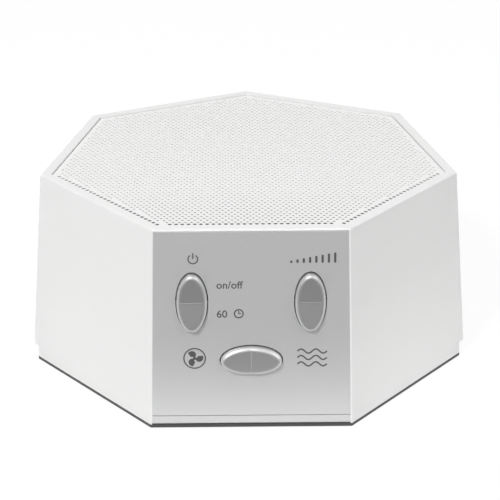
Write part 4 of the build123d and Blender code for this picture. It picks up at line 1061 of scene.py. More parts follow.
@dataclass
class Grille:
    """Perforated plate over the speaker, with its acoustic cloth.

    Attributes:
        pitch: step between holes in a row.
        row_pitch: step between rows, which are staggered by half a pitch.
        hole_radius: of each hole.
        edge_radius: of the holes along the three front sides.
        first_row: middle of the row nearest the front, in from the plate's edge.
        border: least distance from the plate's edge to a hole's middle.
        painted_hole_shade: how much painted shade the foot of a hole gets at the very front.
        front_rows: distance back from the front over which that painted shade fades.
        painted_edge_hole_shade: how much painted shade the holes along the three front sides get.
        side_depth: middle of the row along each side beside the front, in from that side.
        side_ends: least distance from that row's ends to the corners.
        side_half: half the depth of its cells.
        side_fade: distance back from the front over which the painted shade in that row fades.
        spare: gap that is kept between that row's cells and the others.
        cloth_ripple: rise and fall of the cloth.
        cloth_waves: lengths that x and y are divided by in that ripple.
        cloth_thick: thickness of the cloth.
    """

    pitch: float = 1.49
    row_pitch: float = 1.24
    hole_radius: float = 0.35
    edge_radius: float = 0.52
    first_row: float = 2.02
    border: float = 1.2
    painted_hole_shade: float = 2.4
    front_rows: float = 24.0
    painted_edge_hole_shade: float = 2.6
    side_depth: float = 1.25
    side_ends: float = 1.6
    side_half: float = 0.6
    side_fade: float = 50.0
    spare: float = 0.02
    cloth_ripple: float = 0.05
    cloth_waves: Pair = (6.0, 5.0)
    cloth_thick: float = 0.25

    def lattice(self, apothem: float) -> Array:
        """Middles of all cells that may touch the plate.

        Row j is at y0 + j times the row pitch, and its cells are at (i + (j mod 2) / 2) times the
        pitch.

        Args:
            apothem: axis to the plate's side.

        Returns:
            Rows of x and y.
        """
        reach = apothem / np.cos(np.pi / SIDES) + self.pitch
        spare_rows = 2
        j = np.arange(-spare_rows, int(2 * reach / self.row_pitch) + spare_rows)[:, None]
        half_count = int(reach / self.pitch) + 1
        i = np.arange(-half_count, half_count + 1)[None, :]
        x = (i + (j % 2) / 2) * self.pitch
        y = -apothem + self.first_row + j * self.row_pitch + 0 * x
        return np.stack([x.ravel(), y.ravel()], axis=1)

    def plate(self) -> Surface:
        """The plate: a six-sided cell with an eight-sided hole round each hole's middle.

        A staggered lattice with pitch p and rows s apart has cells with corners at
        (+-p/2, +-c) and (0, +-(s - c)), where c = (s^2 - p^2 / 4) / (2 s). The two sides beside
        the front have a row of their own, with square cells. A plain border fills the space
        from the cells to the outline.

        Returns:
            Top, underside, outer edge and the walls of the holes.
        """
        low, high = corner_mm("grille")
        apothem, levels = -low[1], (low[2], high[2])
        p, s = self.pitch, self.row_pitch
        c = (s**2 - p**2 / 4) / (2 * s)
        corner = np.array([(p / 2, c), (0, s - c), (-p / 2, c), (-p / 2, -c), (0, c - s), (p / 2, -c)])
        middles = self.lattice(apothem)
        depths = apothem - middles @ side_normals().T
        clear = self.side_depth + self.side_half + s - c + self.spare
        kept = (depths.min(axis=1) > self.border) & (depths[:, [1, -1]].min(axis=1) > clear)
        middles, depth = middles[kept], depths[kept, 0]
        # Painted shade in the holes: full in the front row, and elsewhere fading from the front to nothing further
        # back.
        first = depth < self.first_row + s / 2
        radii = np.where(first, self.edge_radius, self.hole_radius)
        nearness = np.clip(1 - depth / self.front_rows, 0, 1)
        painted_light_values = np.where(first, self.painted_edge_hole_shade, self.painted_hole_shade * nearness)
        cells = middles[:, None] + corner[None]
        rows = [self.row_beside(side, apothem, levels) for side in (-1, 1)]
        plain = self.plain_border([cells, *(row_cells for _, row_cells in rows)], apothem, levels)
        return join([holed_cells(middles, cells, radii, painted_light_values, levels), *(row for row, _ in rows), plain])

    def row_beside(self, side: int, apothem: float, levels: Pair) -> tuple[Surface, Array]:
        """Row of holes along a side next to the front: set out along the front and turned by a seventh.

        Args:
            side: 1 for the right, -1 for the left.
            apothem: axis to the plate's side.
            levels: heights of the underside and of the top.

        Returns:
            Its holed cells, and their corners as cells by 6 by 2.
        """
        length = 2 * apothem * HALF_SIDE - 2 * self.side_ends
        steps = int(length / self.pitch)
        x = np.linspace(-length / 2, length / 2, steps + 1)
        half = (length / steps / 2, self.side_half)
        corner = np.array([(1, 1), (0, 1), (-1, 1), (-1, -1), (0, -1), (1, -1)]) * half
        a = side * SEVENTH
        turn = np.array([(np.cos(a), np.sin(a)), (-np.sin(a), np.cos(a))])
        in_front = np.stack([x, np.full_like(x, self.side_depth - apothem)], axis=1)
        middles, cells = in_front @ turn, (in_front[:, None] + corner[None]) @ turn
        # Painted shade in this row's holes, fading towards the back.
        nearness = np.clip(1 - (middles[:, 1] + apothem) / self.side_fade, 0, 1)
        radii = np.full(len(x), self.edge_radius)
        return holed_cells(middles, cells, radii, self.painted_edge_hole_shade * nearness, levels, a), cells

    def plain_border(self, cells: list[Array], apothem: float, levels: Pair) -> Surface:
        """Plain border: all that lies between the holed cells and the seven-sided outline.

        A Delaunay triangulation keeps the sides of the cells and of the outline, and tells for
        each triangle which of them it lies in. Those that lie in the outline alone are the border.

        Args:
            cells: groups of holed cells, each by 6 by 2.
            apothem: axis to the plate's side.
            levels: heights of the underside and of the top.

        Returns:
            Top, underside and outer edge.
        """
        decimals, nearest, all_triangles = 4, 1e-7, 0
        flat = np.concatenate(cells).reshape(-1, 2)
        _, first, number = np.unique(flat.round(decimals), axis=0, return_index=True, return_inverse=True)
        outline = seven_sided(apothem, 1)
        points = np.concatenate([flat[first], outline]).tolist()
        shapes = number.reshape(-1, CELL_CORNERS).tolist()
        shapes.append((len(first) + np.arange(SIDES)).tolist())
        found = delaunay_2d_cdt(points, [], shapes, all_triangles, nearest)
        spots, triangles, lies_in = np.array(found[0]), np.array(found[2]), found[5]
        alone = [list(shape) == [len(shapes) - 1] for shape in lies_in]
        kept, triangles = np.unique(triangles[alone], return_inverse=True)
        spots, triangles = spots[kept], triangles.reshape(-1, 3)
        under, over = (np.insert(spots, 2, z, axis=1) for z in levels)
        faces = np.concatenate([triangles, triangles[:, ::-1] + len(spots)])
        edge = np.stack([np.insert(outline, 2, z, axis=1) for z in levels], axis=1)
        return join([Surface(np.concatenate([over, under]), [faces]), grid(edge, around=True)])

    def cloth(self) -> Surface:
        """The cloth: a seven-sided sheet that rises and falls by a fraction of a millimetre.

        Its height over the middle level is the ripple times sin(x / a) cos(y / b).

        Returns:
            Both faces and the edge.
        """
        low, high = corner_mm("grille_cloth")
        rings, per_side = 24, 14
        share = np.linspace(0, 1, rings)
        shares = np.concatenate([share, share[::-1]])
        outlines = shares[:, None, None] * seven_sided(-low[1], per_side)[None]
        sign = np.repeat([1.0, -1.0], rings)[:, None]
        a, b = self.cloth_waves
        ripple = self.cloth_ripple * np.sin(outlines[..., 0] / a) * np.cos(outlines[..., 1] / b)
        middle = (low[2] + high[2]) / 2
        return stacked(outlines, middle + sign * self.cloth_thick / 2 + ripple)

    def build(self) -> None:
        """Makes the plate and the cloth."""
        add_piece("perforated_grille", self.plate(), "white_grille", "case", replaces=("grille",), smooth=50)
        cloth = add_piece("acoustic_cloth", self.cloth(), "grille_cloth", "case", replaces=("grille_cloth",))


@dataclass
class Rocker:
    """One of the three oval rockers, with the silicone keypad under it.

    Attributes:
        name: power, volume or sound.
        half_width: of the cap, along its pivot.
        half_length: of the cap.
        proud: the cap's ends over the face.
        dish: how far the cap's middle lies under its ends.
        bevel: radius of the cap's edge.
        cap_depth: underside of the cap behind the face.
        core: half axes of the core under the cap.
        core_depth: underside of the core behind the face.
        ridge_half: half the width of the ridge across the middle.
        ridge_high: its height over the dish.
        ridge_sunk: how far it reaches down into the cap.
        ridge_inset: its ends' distance from the cap's sides, as a share of the bevel.
        foot_arm: middle of each foot along the rocker.
        foot_radius: of each foot.
        foot_depth: tip of the feet behind the face.
        foot_tip: points of a foot's softened tip, each in from its side and up from its end.
        dome_radius: foot and top of a silicone dome.
        dome_power: how soon its flank falls, where 1 is a plain cone.
        dome_crown: share of the dome's top that is flat, and the share where its edge is softened.
        pad: half width, half length and thickness of the keypad's base.
        pad_corner: radius of its corners.
        pad_crown: share of its top that is flat, and the share where its edge is softened.
        pad_depth: top of the base behind the face.
        soft: height of the softened edges of dome and base.
        seat: how far feet and domes reach into what carries them.
        keep: how much of its thickness the keypad keeps at the rocker's limit. It is not used.
        rim_depth: depth under the top where the painted highlight on the edge is at its fullest.
        rim_kept: how much of that painted highlight the rocker's upper end keeps.
        rim_low: height over the face below which the painted highlight fades out again.
        crest_painted_highlight: how much painted highlight the ridge's top gets.
    """

    name: str
    half_width: float = 3.72
    half_length: float = 7.43
    proud: float = 1.85
    dish: float = 0.55
    bevel: float = 1.15
    cap_depth: float = 2.0
    core: Pair = (3.1, 6.4)
    core_depth: float = 5.0
    ridge_half: float = 0.26
    ridge_high: float = 0.045
    ridge_sunk: float = 0.1
    ridge_inset: float = 0.9
    foot_arm: float = 4.6
    foot_radius: float = 1.1
    foot_depth: float = 6.6
    foot_tip: tuple[Pair, ...] = ((0.0, 0.3), (0.1, 0.08), (0.3, 0.0))
    dome_radius: Pair = (2.5, 1.4)
    dome_power: float = 1.6
    dome_crown: Pair = (0.8, 0.95)
    pad: tuple[float, float, float] = (3.2, 7.9, 1.0)
    pad_corner: float = 1.0
    pad_crown: Pair = (0.96, 0.99)
    pad_depth: float = 8.4
    soft: float = 0.12
    seat: float = 0.2
    keep: float = 0.85
    rim_depth: float = 0.5
    rim_kept: float = 0.15
    rim_low: float = 0.2
    crest_painted_highlight: float = 0.0

    def top(self, outlines: Array) -> Array:
        """Height of the cap at (x, y): proud - dish (1 - |y| / length), two slopes that meet."""
        return self.proud - self.dish * (1 - np.abs(outlines[..., 1]) / self.half_length)

    def cap(self) -> Surface:
        """Cap and core in one skin.

        From the middle outwards the cap follows its top. Over the last stretch its edge is a
        quarter circle: at angle f it lies bevel (1 - cos f) inside the outline and
        bevel (1 - sin f) under the top. It then goes straight down, in to the core and down
        again, and closes underneath.

        Returns:
            The surface.
        """
        top_rings, edge_rings, under_rings = 22, 12, 6
        oval = (self.half_width, self.half_length)
        share = np.linspace(0, 1, top_rings, endpoint=False)
        middle = share[:, None, None] * ellipse(*oval, self.bevel)[None]
        turn = np.linspace(np.pi / 2, 0, edge_rings)
        edge = np.stack([ellipse(*oval, self.bevel * (1 - np.cos(f))) for f in turn])
        drop = self.bevel * (1 - np.sin(turn))[:, None]
        outside, core = ellipse(*oval), ellipse(*self.core)
        under = np.linspace(1, 0, under_rings)[:, None, None] * core[None]
        outlines = np.concatenate([middle, edge, [outside, core], under])
        skirt = np.full((2, OVAL_STEPS), -self.cap_depth)
        foot = np.full((under_rings, OVAL_STEPS), -self.core_depth)
        return stacked(outlines, np.concatenate([self.top(middle), self.top(edge) - drop, skirt, foot]))

    def ridge_bar(self) -> Surface:
        """Low ridge across the cap, over the pivot, with half an oval as its section.

        Returns:
            The surface.
        """
        reach = self.half_width - self.ridge_inset * self.bevel
        x = np.linspace(-reach, reach, 17)
        path = np.stack([x, 0 * x, np.full_like(x, self.proud - self.dish)], axis=1)
        a = np.linspace(0, np.pi, 9)
        crown = np.stack([self.ridge_half * np.cos(a), self.ridge_high * np.sin(a)], axis=1)
        foot = [(-self.ridge_half, -self.ridge_sunk), (self.ridge_half, -self.ridge_sunk)]
        return tube(path, np.concatenate([crown, foot]))

    def feet(self) -> Surface:
        """Two round feet under the core, each a turned profile with a softened tip.

        Returns:
            Both feet.
        """
        r, start, end = self.foot_radius, self.seat - self.core_depth, -self.foot_depth
        tip = [(r - inset, end + rise) for inset, rise in self.foot_tip]
        profile = np.array([(0, start), (r, start), *tip, (0, end)])
        arms = (-self.foot_arm, self.foot_arm)
        return join([turned(profile, segments=32, centre=(0.0, arm)) for arm in arms])

    def keypad(self) -> Surface:
        """Silicone base with two domes.

        A dome's skin falls from its flat top to its foot along r = r1 + (r0 - r1) t^power and
        z = top - height t, with a small round at the top's edge.

        Returns:
            The surface.
        """
        foot, head = self.dome_radius
        top, base = -self.foot_depth, -self.pad_depth
        t = np.linspace(0, 1, 10)
        flank_top = top - self.soft
        radius = head + (foot - head) * t**self.dome_power
        flank = np.stack([radius, flank_top - (flank_top - base) * t], axis=1)
        level, softened = self.dome_crown
        crown = [(0, top), (head * level, top), (head * softened, top - self.soft / 3)]
        sunk = [(foot, base - self.seat), (0, base - self.seat)]
        dome = np.concatenate([crown, flank, sunk])
        domes = [turned(dome, segments=40, centre=(0.0, arm)) for arm in (-self.foot_arm, self.foot_arm)]
        half_x, half_y, thick = self.pad
        shares = np.array([0.0, *self.pad_crown, 1.0, 1.0, 0.0])[:, None, None]
        falls = np.array([0.0, 0.0, self.soft / 3, self.soft, thick, thick])[:, None]
        outline = rounded_rectangle(half_x, half_y, self.pad_corner)
        return join([*domes, stacked(shares * outline[None], base - falls)])

    def rim_painted_highlight(self, points: Array, place: Place) -> Array:
        """Painted highlight on the rocker's edge at each point, in place of the light it catches.

        It grows from nothing on the top to full at the rim's depth under it, where the point is
        over the face, and fades towards the rocker's upper end. The top of the ridge can get
        painted highlight too.

        Args:
            points: places on the moulding, in the rocker's own axes.
            place: where the rocker stands.

        Returns:
            One value per point, 0 to 1.
        """
        under = np.clip((self.top(points) - points[:, 2]) / self.rim_depth, 0, 1)
        over_face = np.clip(points[:, 2] / self.rim_low, 0, 1)
        height = place.put(points)[:, 2]
        above = np.clip((height - place.origin[2]) / (np.ptp(height) / 2), 0, 1)
        crest_painted_highlight = np.clip((points[:, 2] - self.top(points)) / self.ridge_high, 0, 1)
        return under * over_face * (1 - (1 - self.rim_kept) * above) + self.crest_painted_highlight * crest_painted_highlight

    def build(self, face: FrontFace) -> None:
        """Makes the rocker and its keypad on the front face.

        Args:
            face: the face that they sit in.
        """
        place = face.rocker(self.name)
        shape = join([self.cap(), self.ridge_bar(), self.feet()])
        # Painted highlight on the cap's edge and ridge, carried by the shade attribute.
        shape.shade = self.rim_painted_highlight(shape.points, place)
        add_piece(
            f"{self.name}_rocker_moulding", shape, "grey_rocker", f"{self.name}_button", place,
            (f"{self.name}_rocker",), smooth=35,
        )
        pad = add_piece(
            f"{self.name}_keypad_rubber", self.keypad(), "silicone", "case", place,
            (f"{self.name}_keypad",), smooth=35,
        )
        anchor = place.moved(0, 0, -self.pad_depth - self.pad[2]).origin
        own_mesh(pad)


@dataclass
class PanelEdge:
    """Satin bead that closes the narrow groove along each side of the panel, and the strip under it.

    Attributes:
        foot: height up the face where the bead starts, and half the panel's opening there.
        head: height up the face where it ends, and half the opening there.
        half: half the bead's width.
        low: underside of bead and strip behind the face.
        high: the bead's top over the face.
        strip: lowest and highest edge of the silver strip under the panel.
        skin: how far the strip stands over the face.
    """

    foot: Pair = (3.43, 24.437)
    head: Pair = (51.53, 23.306)
    half: float = 0.12
    low: float = -0.3
    high: float = 0.004
    strip: Pair = (1.52, 3.36)
    skin: float = 0.012

    def half_opening(self, height: Array) -> Array:
        """Half the panel's opening at heights up the face: it changes evenly from foot to head."""
        slope = (self.head[1] - self.foot[1]) / (self.head[0] - self.foot[0])
        return self.foot[1] + slope * (height - self.foot[0])

    def foot_strip(self) -> Surface:
        """Thin skin on the face under the panel, between the panel's two sides carried on down.

        Returns:
            The surface, as a stack of four outlines: nothing, the strip, the strip, nothing.
        """
        low, high = self.strip
        wide_low, wide_high = self.half_opening(np.array(self.strip))
        outline = np.array([(-wide_low, low), (wide_low, low), (wide_high, high), (-wide_high, high)])
        middle = outline.mean(axis=0)
        shares = np.array([0.0, 1.0, 1.0, 0.0])[:, None, None]
        levels = np.array([self.skin, self.skin, self.low, self.low])[:, None]
        return stacked(middle + shares * (outline - middle), levels)

    def bead(self, side: int) -> Surface:
        """Straight band from foot to head, half its width inside the opening's edge.

        Args:
            side: 1 for the right, -1 for the left.

        Returns:
            The surface.
        """
        v = np.linspace(self.foot[0], self.head[0], 24)
        u = side * (self.half_opening(v) - self.half)
        return stroke(np.stack([u, v], axis=1), self.half, self.low, self.high)

    def build(self, face: FrontFace) -> None:
        """Makes both beads as one piece, and the strip.

        Args:
            face: the front face.
        """
        both = join([self.bead(-1), self.bead(1)])
        add_piece("panel_edge_bead", both, "silver_panel", "case", face.place())
        add_piece("panel_foot_strip", self.foot_strip(), "silver_panel", "case", face.place())


@dataclass
class Legends:
    """Plain signs printed on the panel, in coordinates across and up the face.

    Attributes:
        low: underside of the ink, just inside the panel's skin.
        high: top of the ink.
        lap: how much higher a line is that crosses another.
        line: half width of a thin line.
        power: middle and radius of the power sign.
        power_gap: half the gap in its ring, degrees.
        power_bar: start and end of its upright bar, over the middle and over the ring.
        level: first bar, step, count and greatest height of the level bars.
        level_half: half width of a level bar.
        level_foot: start of every bar over the base line, and end of the shortest.
        fan: middle and radius of the fan sign.
        fan_reach: start and end of a blade, as shares of the radius.
        fan_turn: degrees by which a blade bends.
        fan_half: half width of a blade and radius of the hub, as shares of the radius.
        fan_power: how blunt the blades' ends are, where 1 is a plain sine.
        waves: middle, half length, rise and step of the wave sign.
        wave_line: width of its lines, as a share of a thin line.
        clock: middle and radius of the timer sign.
        hands: lengths of its upright and level hand, as shares of the radius.
        hand_line: width of the hands, as a share of a thin line.
        words: name, left end, base line and text of each piece of lettering.
        type_size: size of the type.
        type_swell: how much the type's strokes are thickened to each side.
    """

    low: float = -0.01
    high: float = 0.02
    lap: float = 0.001
    line: float = 0.16
    power: tuple[float, float, float] = (-13.9, 44.6, 1.15)
    power_gap: float = 35.0
    power_bar: Pair = (0.15, 0.25)
    level: tuple[float, float, float, int, float] = (9.6, 43.5, 1.5, 8, 2.3)
    level_half: float = 0.28
    level_foot: Pair = (0.2, 0.3)
    fan: tuple[float, float, float] = (-13.8, 18.8, 2.6)
    fan_reach: Pair = (0.12, 0.8)
    fan_turn: float = 50.0
    fan_half: Pair = (0.3, 0.16)
    fan_power: float = 0.8
    waves: tuple[float, float, float, float, float] = (14.8, 18.8, 3.6, 0.55, 1.7)
    wave_line: float = 1.15
    clock: tuple[float, float, float] = (-3.0, 30.45, 1.05)
    hands: Pair = (0.62, 0.45)
    hand_line: float = 0.8
    words: tuple[tuple[str, float, float, str], ...] = (
        ("on_off_lettering", -8.4, 37.0, "on/off"),
        ("timer_number", -8.4, 29.5, "60"),
    )
    type_size: float = 2.65
    type_swell: float = 0.03

    def arc(self, u: float, v: float, radius: float, start: float, end: float) -> Surface:
        """Thin arc: its points are (u + r cos a, v + r sin a).

        Args:
            u: middle across the face.
            v: middle up the face.
            radius: r.
            start: first angle a, degrees anticlockwise from level.
            end: last angle. A full turn after the first, it makes a ring.

        Returns:
            The surface.
        """
        whole = end - start == 360
        a = np.radians(np.linspace(start, end, 48 if whole else 40, endpoint=not whole))
        path = np.stack([u + radius * np.cos(a), v + radius * np.sin(a)], axis=1)
        return stroke(path, self.line, self.low, self.high, loop=whole)

    def power_sign(self) -> Surface:
        """Broken ring with an upright bar in its gap.

        Returns:
            The sign.
        """
        u, v, r = self.power
        start, end = self.power_bar
        upright = bar((u, v + start), (u, v + r + end), self.line, self.low, self.high)
        return join([self.arc(u, v, r, 90 + self.power_gap, 450 - self.power_gap), upright])

    def level_sign(self) -> Surface:
        """Bars that grow in even steps to the right.

        Returns:
            The sign.
        """
        u, v, step, count, tall = self.level
        foot, least = self.level_foot
        bars = [
            bar((u + k * step, v + foot), (u + k * step, v + end), self.level_half, self.low, self.high)
            for k, end in enumerate(np.linspace(least, tall, count))
        ]
        return join(bars)

    def fan_sign(self) -> Surface:
        """Three blades round a hub, in a ring.

        A blade's middle line leaves the hub and bends evenly on its way out. Its half width is
        a share of the radius times sin(pi t)^power, with t from 0 to 1 along the blade.

        Returns:
            The sign.
        """
        u, v, r = self.fan
        start, end = self.fan_reach
        half, hub_radius = self.fan_half
        blunt = 0.02  # stretch of t left out at both ends of a blade, and least half width
        t = np.linspace(blunt, 1 - blunt, 24)
        reach = r * (start + (end - start) * t)
        wide = half * r * np.sin(np.pi * t) ** self.fan_power + blunt
        blades = []
        for first in (90, 210, 330):
            a = np.radians(first + self.fan_turn * t)
            path = np.stack([u + reach * np.cos(a), v + reach * np.sin(a)], axis=1)
            blades.append(stroke(path, wide, self.low, self.high))
        hub = disc(u, v, hub_radius * r, self.low, self.high + 2 * self.lap)
        return join([*blades, hub, self.arc(u, v, r, 0, 360)])

    def wave_sign(self) -> Surface:
        """Three level waves, one above another: v = rise sin(2 pi u / half).

        Returns:
            The sign.
        """
        u, v, half, rise, step = self.waves
        x = np.linspace(-half, half, 60)
        wave = rise * np.sin(x / half * 2 * np.pi)
        paths = [np.stack([u + x, v + k * step + wave], axis=1) for k in (-1, 0, 1)]
        return join([stroke(path, self.line * self.wave_line, self.low, self.high) for path in paths])

    def clock_sign(self) -> Surface:
        """Small clock: a ring and two hands.

        Returns:
            The sign.
        """
        u, v, r = self.clock
        upright, level = self.hands
        half = self.line * self.hand_line
        hands = [
            bar((u, v), (u, v + upright * r), half, self.low, self.high),
            bar((u, v), (u + level * r, v), half, self.low, self.high + self.lap),
        ]
        return join([self.arc(u, v, r, 0, 360), *hands])

    def lettering(self, name: str, left: float, foot: float, words: str, face: Place) -> None:
        """Sets plain generic words in the built-in face, as a mesh in the panel's plane.

        Args:
            name: the piece's name.
            left: left end, across the face.
            foot: base line, up the face.
            words: what it says.
            face: the face's axes.
        """
        curve = bpy.data.curves.new(name, "FONT")
        curve.body = words
        curve.size = self.type_size
        curve.offset = self.type_swell
        curve.resolution_u = 6
        curve.extrude = (self.high - self.low) / 2
        maker = add_object(name + "_curve", curve)
        bpy.context.view_layer.update()
        mesh = bpy.data.meshes.new_from_object(maker.evaluated_get(bpy.context.evaluated_depsgraph_get()))
        bpy.data.objects.remove(maker)
        flat = np.empty(len(mesh.vertices) * 3, np.float32)
        mesh.vertices.foreach_get("co", flat)
        points = flat.reshape(-1, 3) + np.array([left, foot, (self.high + self.low) / 2])
        mesh.vertices.foreach_set("co", face.put(points).astype(np.float32).ravel())
        mesh.update()
        weld(mesh)
        mesh.materials.clear()
        hang(name, mesh, "case", INK)

    def build(self, face: FrontFace) -> None:
        """Prints all signs on the face.

        Args:
            face: the front face.
        """
        place = face.place()
        signs = {
            "power_sign": self.power_sign(),
            "level_sign": self.level_sign(),
            "fan_sign": self.fan_sign(),
            "wave_sign": self.wave_sign(),
            "clock_sign": self.clock_sign(),
        }
        for name, shape in signs.items():
            add_piece(name, shape, "silver_panel", "case", place, finish=INK)
        for word in self.words:
            self.lettering(*word, place)


@dataclass
class Speaker:
    """Moving and sprung parts of the speaker, as smooth turned skins.

    Attributes:
        fit: gap between the coil's former and what is glued round it.
        paper: thickness of cone and dust cap.
        bulge: of the cone's flank.
        lip: width of the cone's flat lip.
        lip_edge: width of the outermost stretch of that lip.
        roll: thickness of the surround.
        roll_span: inner and outer foot of its roll, out from the cone's edge.
        roll_keep: how much of its height it keeps as the cone travels. It is not used.
        spider_thick: thickness of the spider.
        spider_rise: height of its waves.
        spider_waves: how many waves it has.
        spider_collar: width of its flat collar.
        spider_rim: width of its flat rim.
        spider_keep: how much of its height it keeps as the cone travels. It is not used.
    """

    fit: float = 0.06
    paper: float = 0.4
    bulge: float = 0.15
    lip: float = 1.3
    lip_edge: float = 0.3
    roll: float = 0.45
    roll_span: Pair = (0.15, 4.05)
    roll_keep: float = 0.75
    spider_thick: float = 0.4
    spider_rise: float = 0.6
    spider_waves: int = 4
    spider_collar: float = 1.2
    spider_rim: float = 2.0
    spider_keep: float = 0.5

    def cone(self) -> Surface:
        """Cone: a straight flank from neck to lip, raised by bulge sin(pi t), and a flat lip.

        Returns:
            The surface.
        """
        low, high = corner_mm("cone")
        neck, lip = corner_mm("coil_former")[1][0] + self.fit, high[0] - self.lip
        start = low[2] + self.paper
        t = np.linspace(0, 1, 28)
        level = start + (high[2] - start) * t + self.bulge * np.sin(np.pi * t)
        flank = np.stack([neck + (lip - neck) * t, level], axis=1)
        line = np.concatenate([flank, [(high[0] - self.lip_edge, high[2]), (high[0], high[2])]])
        return turned_skin(line, self.paper, segments=128)

    def dust_cap(self) -> Surface:
        """Dome: z = foot + height (1 - (r / radius)^2).

        Returns:
            The surface.
        """
        low, high = corner_mm("dust_cap")
        r = np.linspace(0, high[0], 20)
        start = low[2] + self.paper
        level = start + (high[2] - start) * (1 - (r / high[0]) ** 2)
        return turned_skin(np.stack([r, level], axis=1), self.paper, segments=96)

    def surround(self) -> Surface:
        """Half roll between two flat flanges: half an oval, as wide as its span and as high as the node.

        Returns:
            The surface.
        """
        low, high = corner_mm("surround")
        cone_edge = corner_mm("cone")[1][0]
        start, end = cone_edge + self.roll_span[0], cone_edge + self.roll_span[1]
        base = low[2] + self.roll
        a = np.linspace(np.pi, 0, 25)
        radius = (start + end) / 2 + (end - start) / 2 * np.cos(a)
        roll = np.stack([radius, base + (high[2] - base) * np.sin(a)], axis=1)
        line = np.concatenate([[(cone_edge - self.lip, base)], roll, [(high[0], base)]])
        return turned_skin(line, self.roll, segments=128)

    def spider(self) -> Surface:
        """Corrugated disc: z = rise sin(2 pi n t) between a flat collar and a flat rim.

        Returns:
            The surface.
        """
        low, high = corner_mm("spider")
        neck = corner_mm("coil_former")[1][0] + self.fit
        start, end = neck + self.spider_collar, high[0] - self.spider_rim
        t = np.linspace(0, 1, 24 * self.spider_waves)
        level = low[2] + self.spider_rise + self.spider_thick
        wave = self.spider_rise * np.sin(2 * np.pi * self.spider_waves * t)
        waves = np.stack([start + (end - start) * t, level + wave], axis=1)
        line = np.concatenate([[(neck, level)], waves, [(high[0], level)]])
        return turned_skin(line, self.spider_thick, segments=128)

    def build(self) -> None:
        """Makes cone, dust cap, surround and spider."""
        add_piece("paper_cone", self.cone(), "paper_cone", "cone_assembly", replaces=("cone",))
        add_piece("paper_dust_cap", self.dust_cap(), "paper_cone", "cone_assembly", replaces=("dust_cap",))
        sprung = (
            ("rubber_surround", self.surround(), "surround_rubber", "surround", self.roll_keep),
            ("cloth_spider", self.spider(), "spider_cloth", "spider", self.spider_keep),
        )
        for name, shape, slot, node, keep in sprung:
            piece = add_piece(name, shape, slot, "case", replaces=(node,))
            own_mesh(piece)


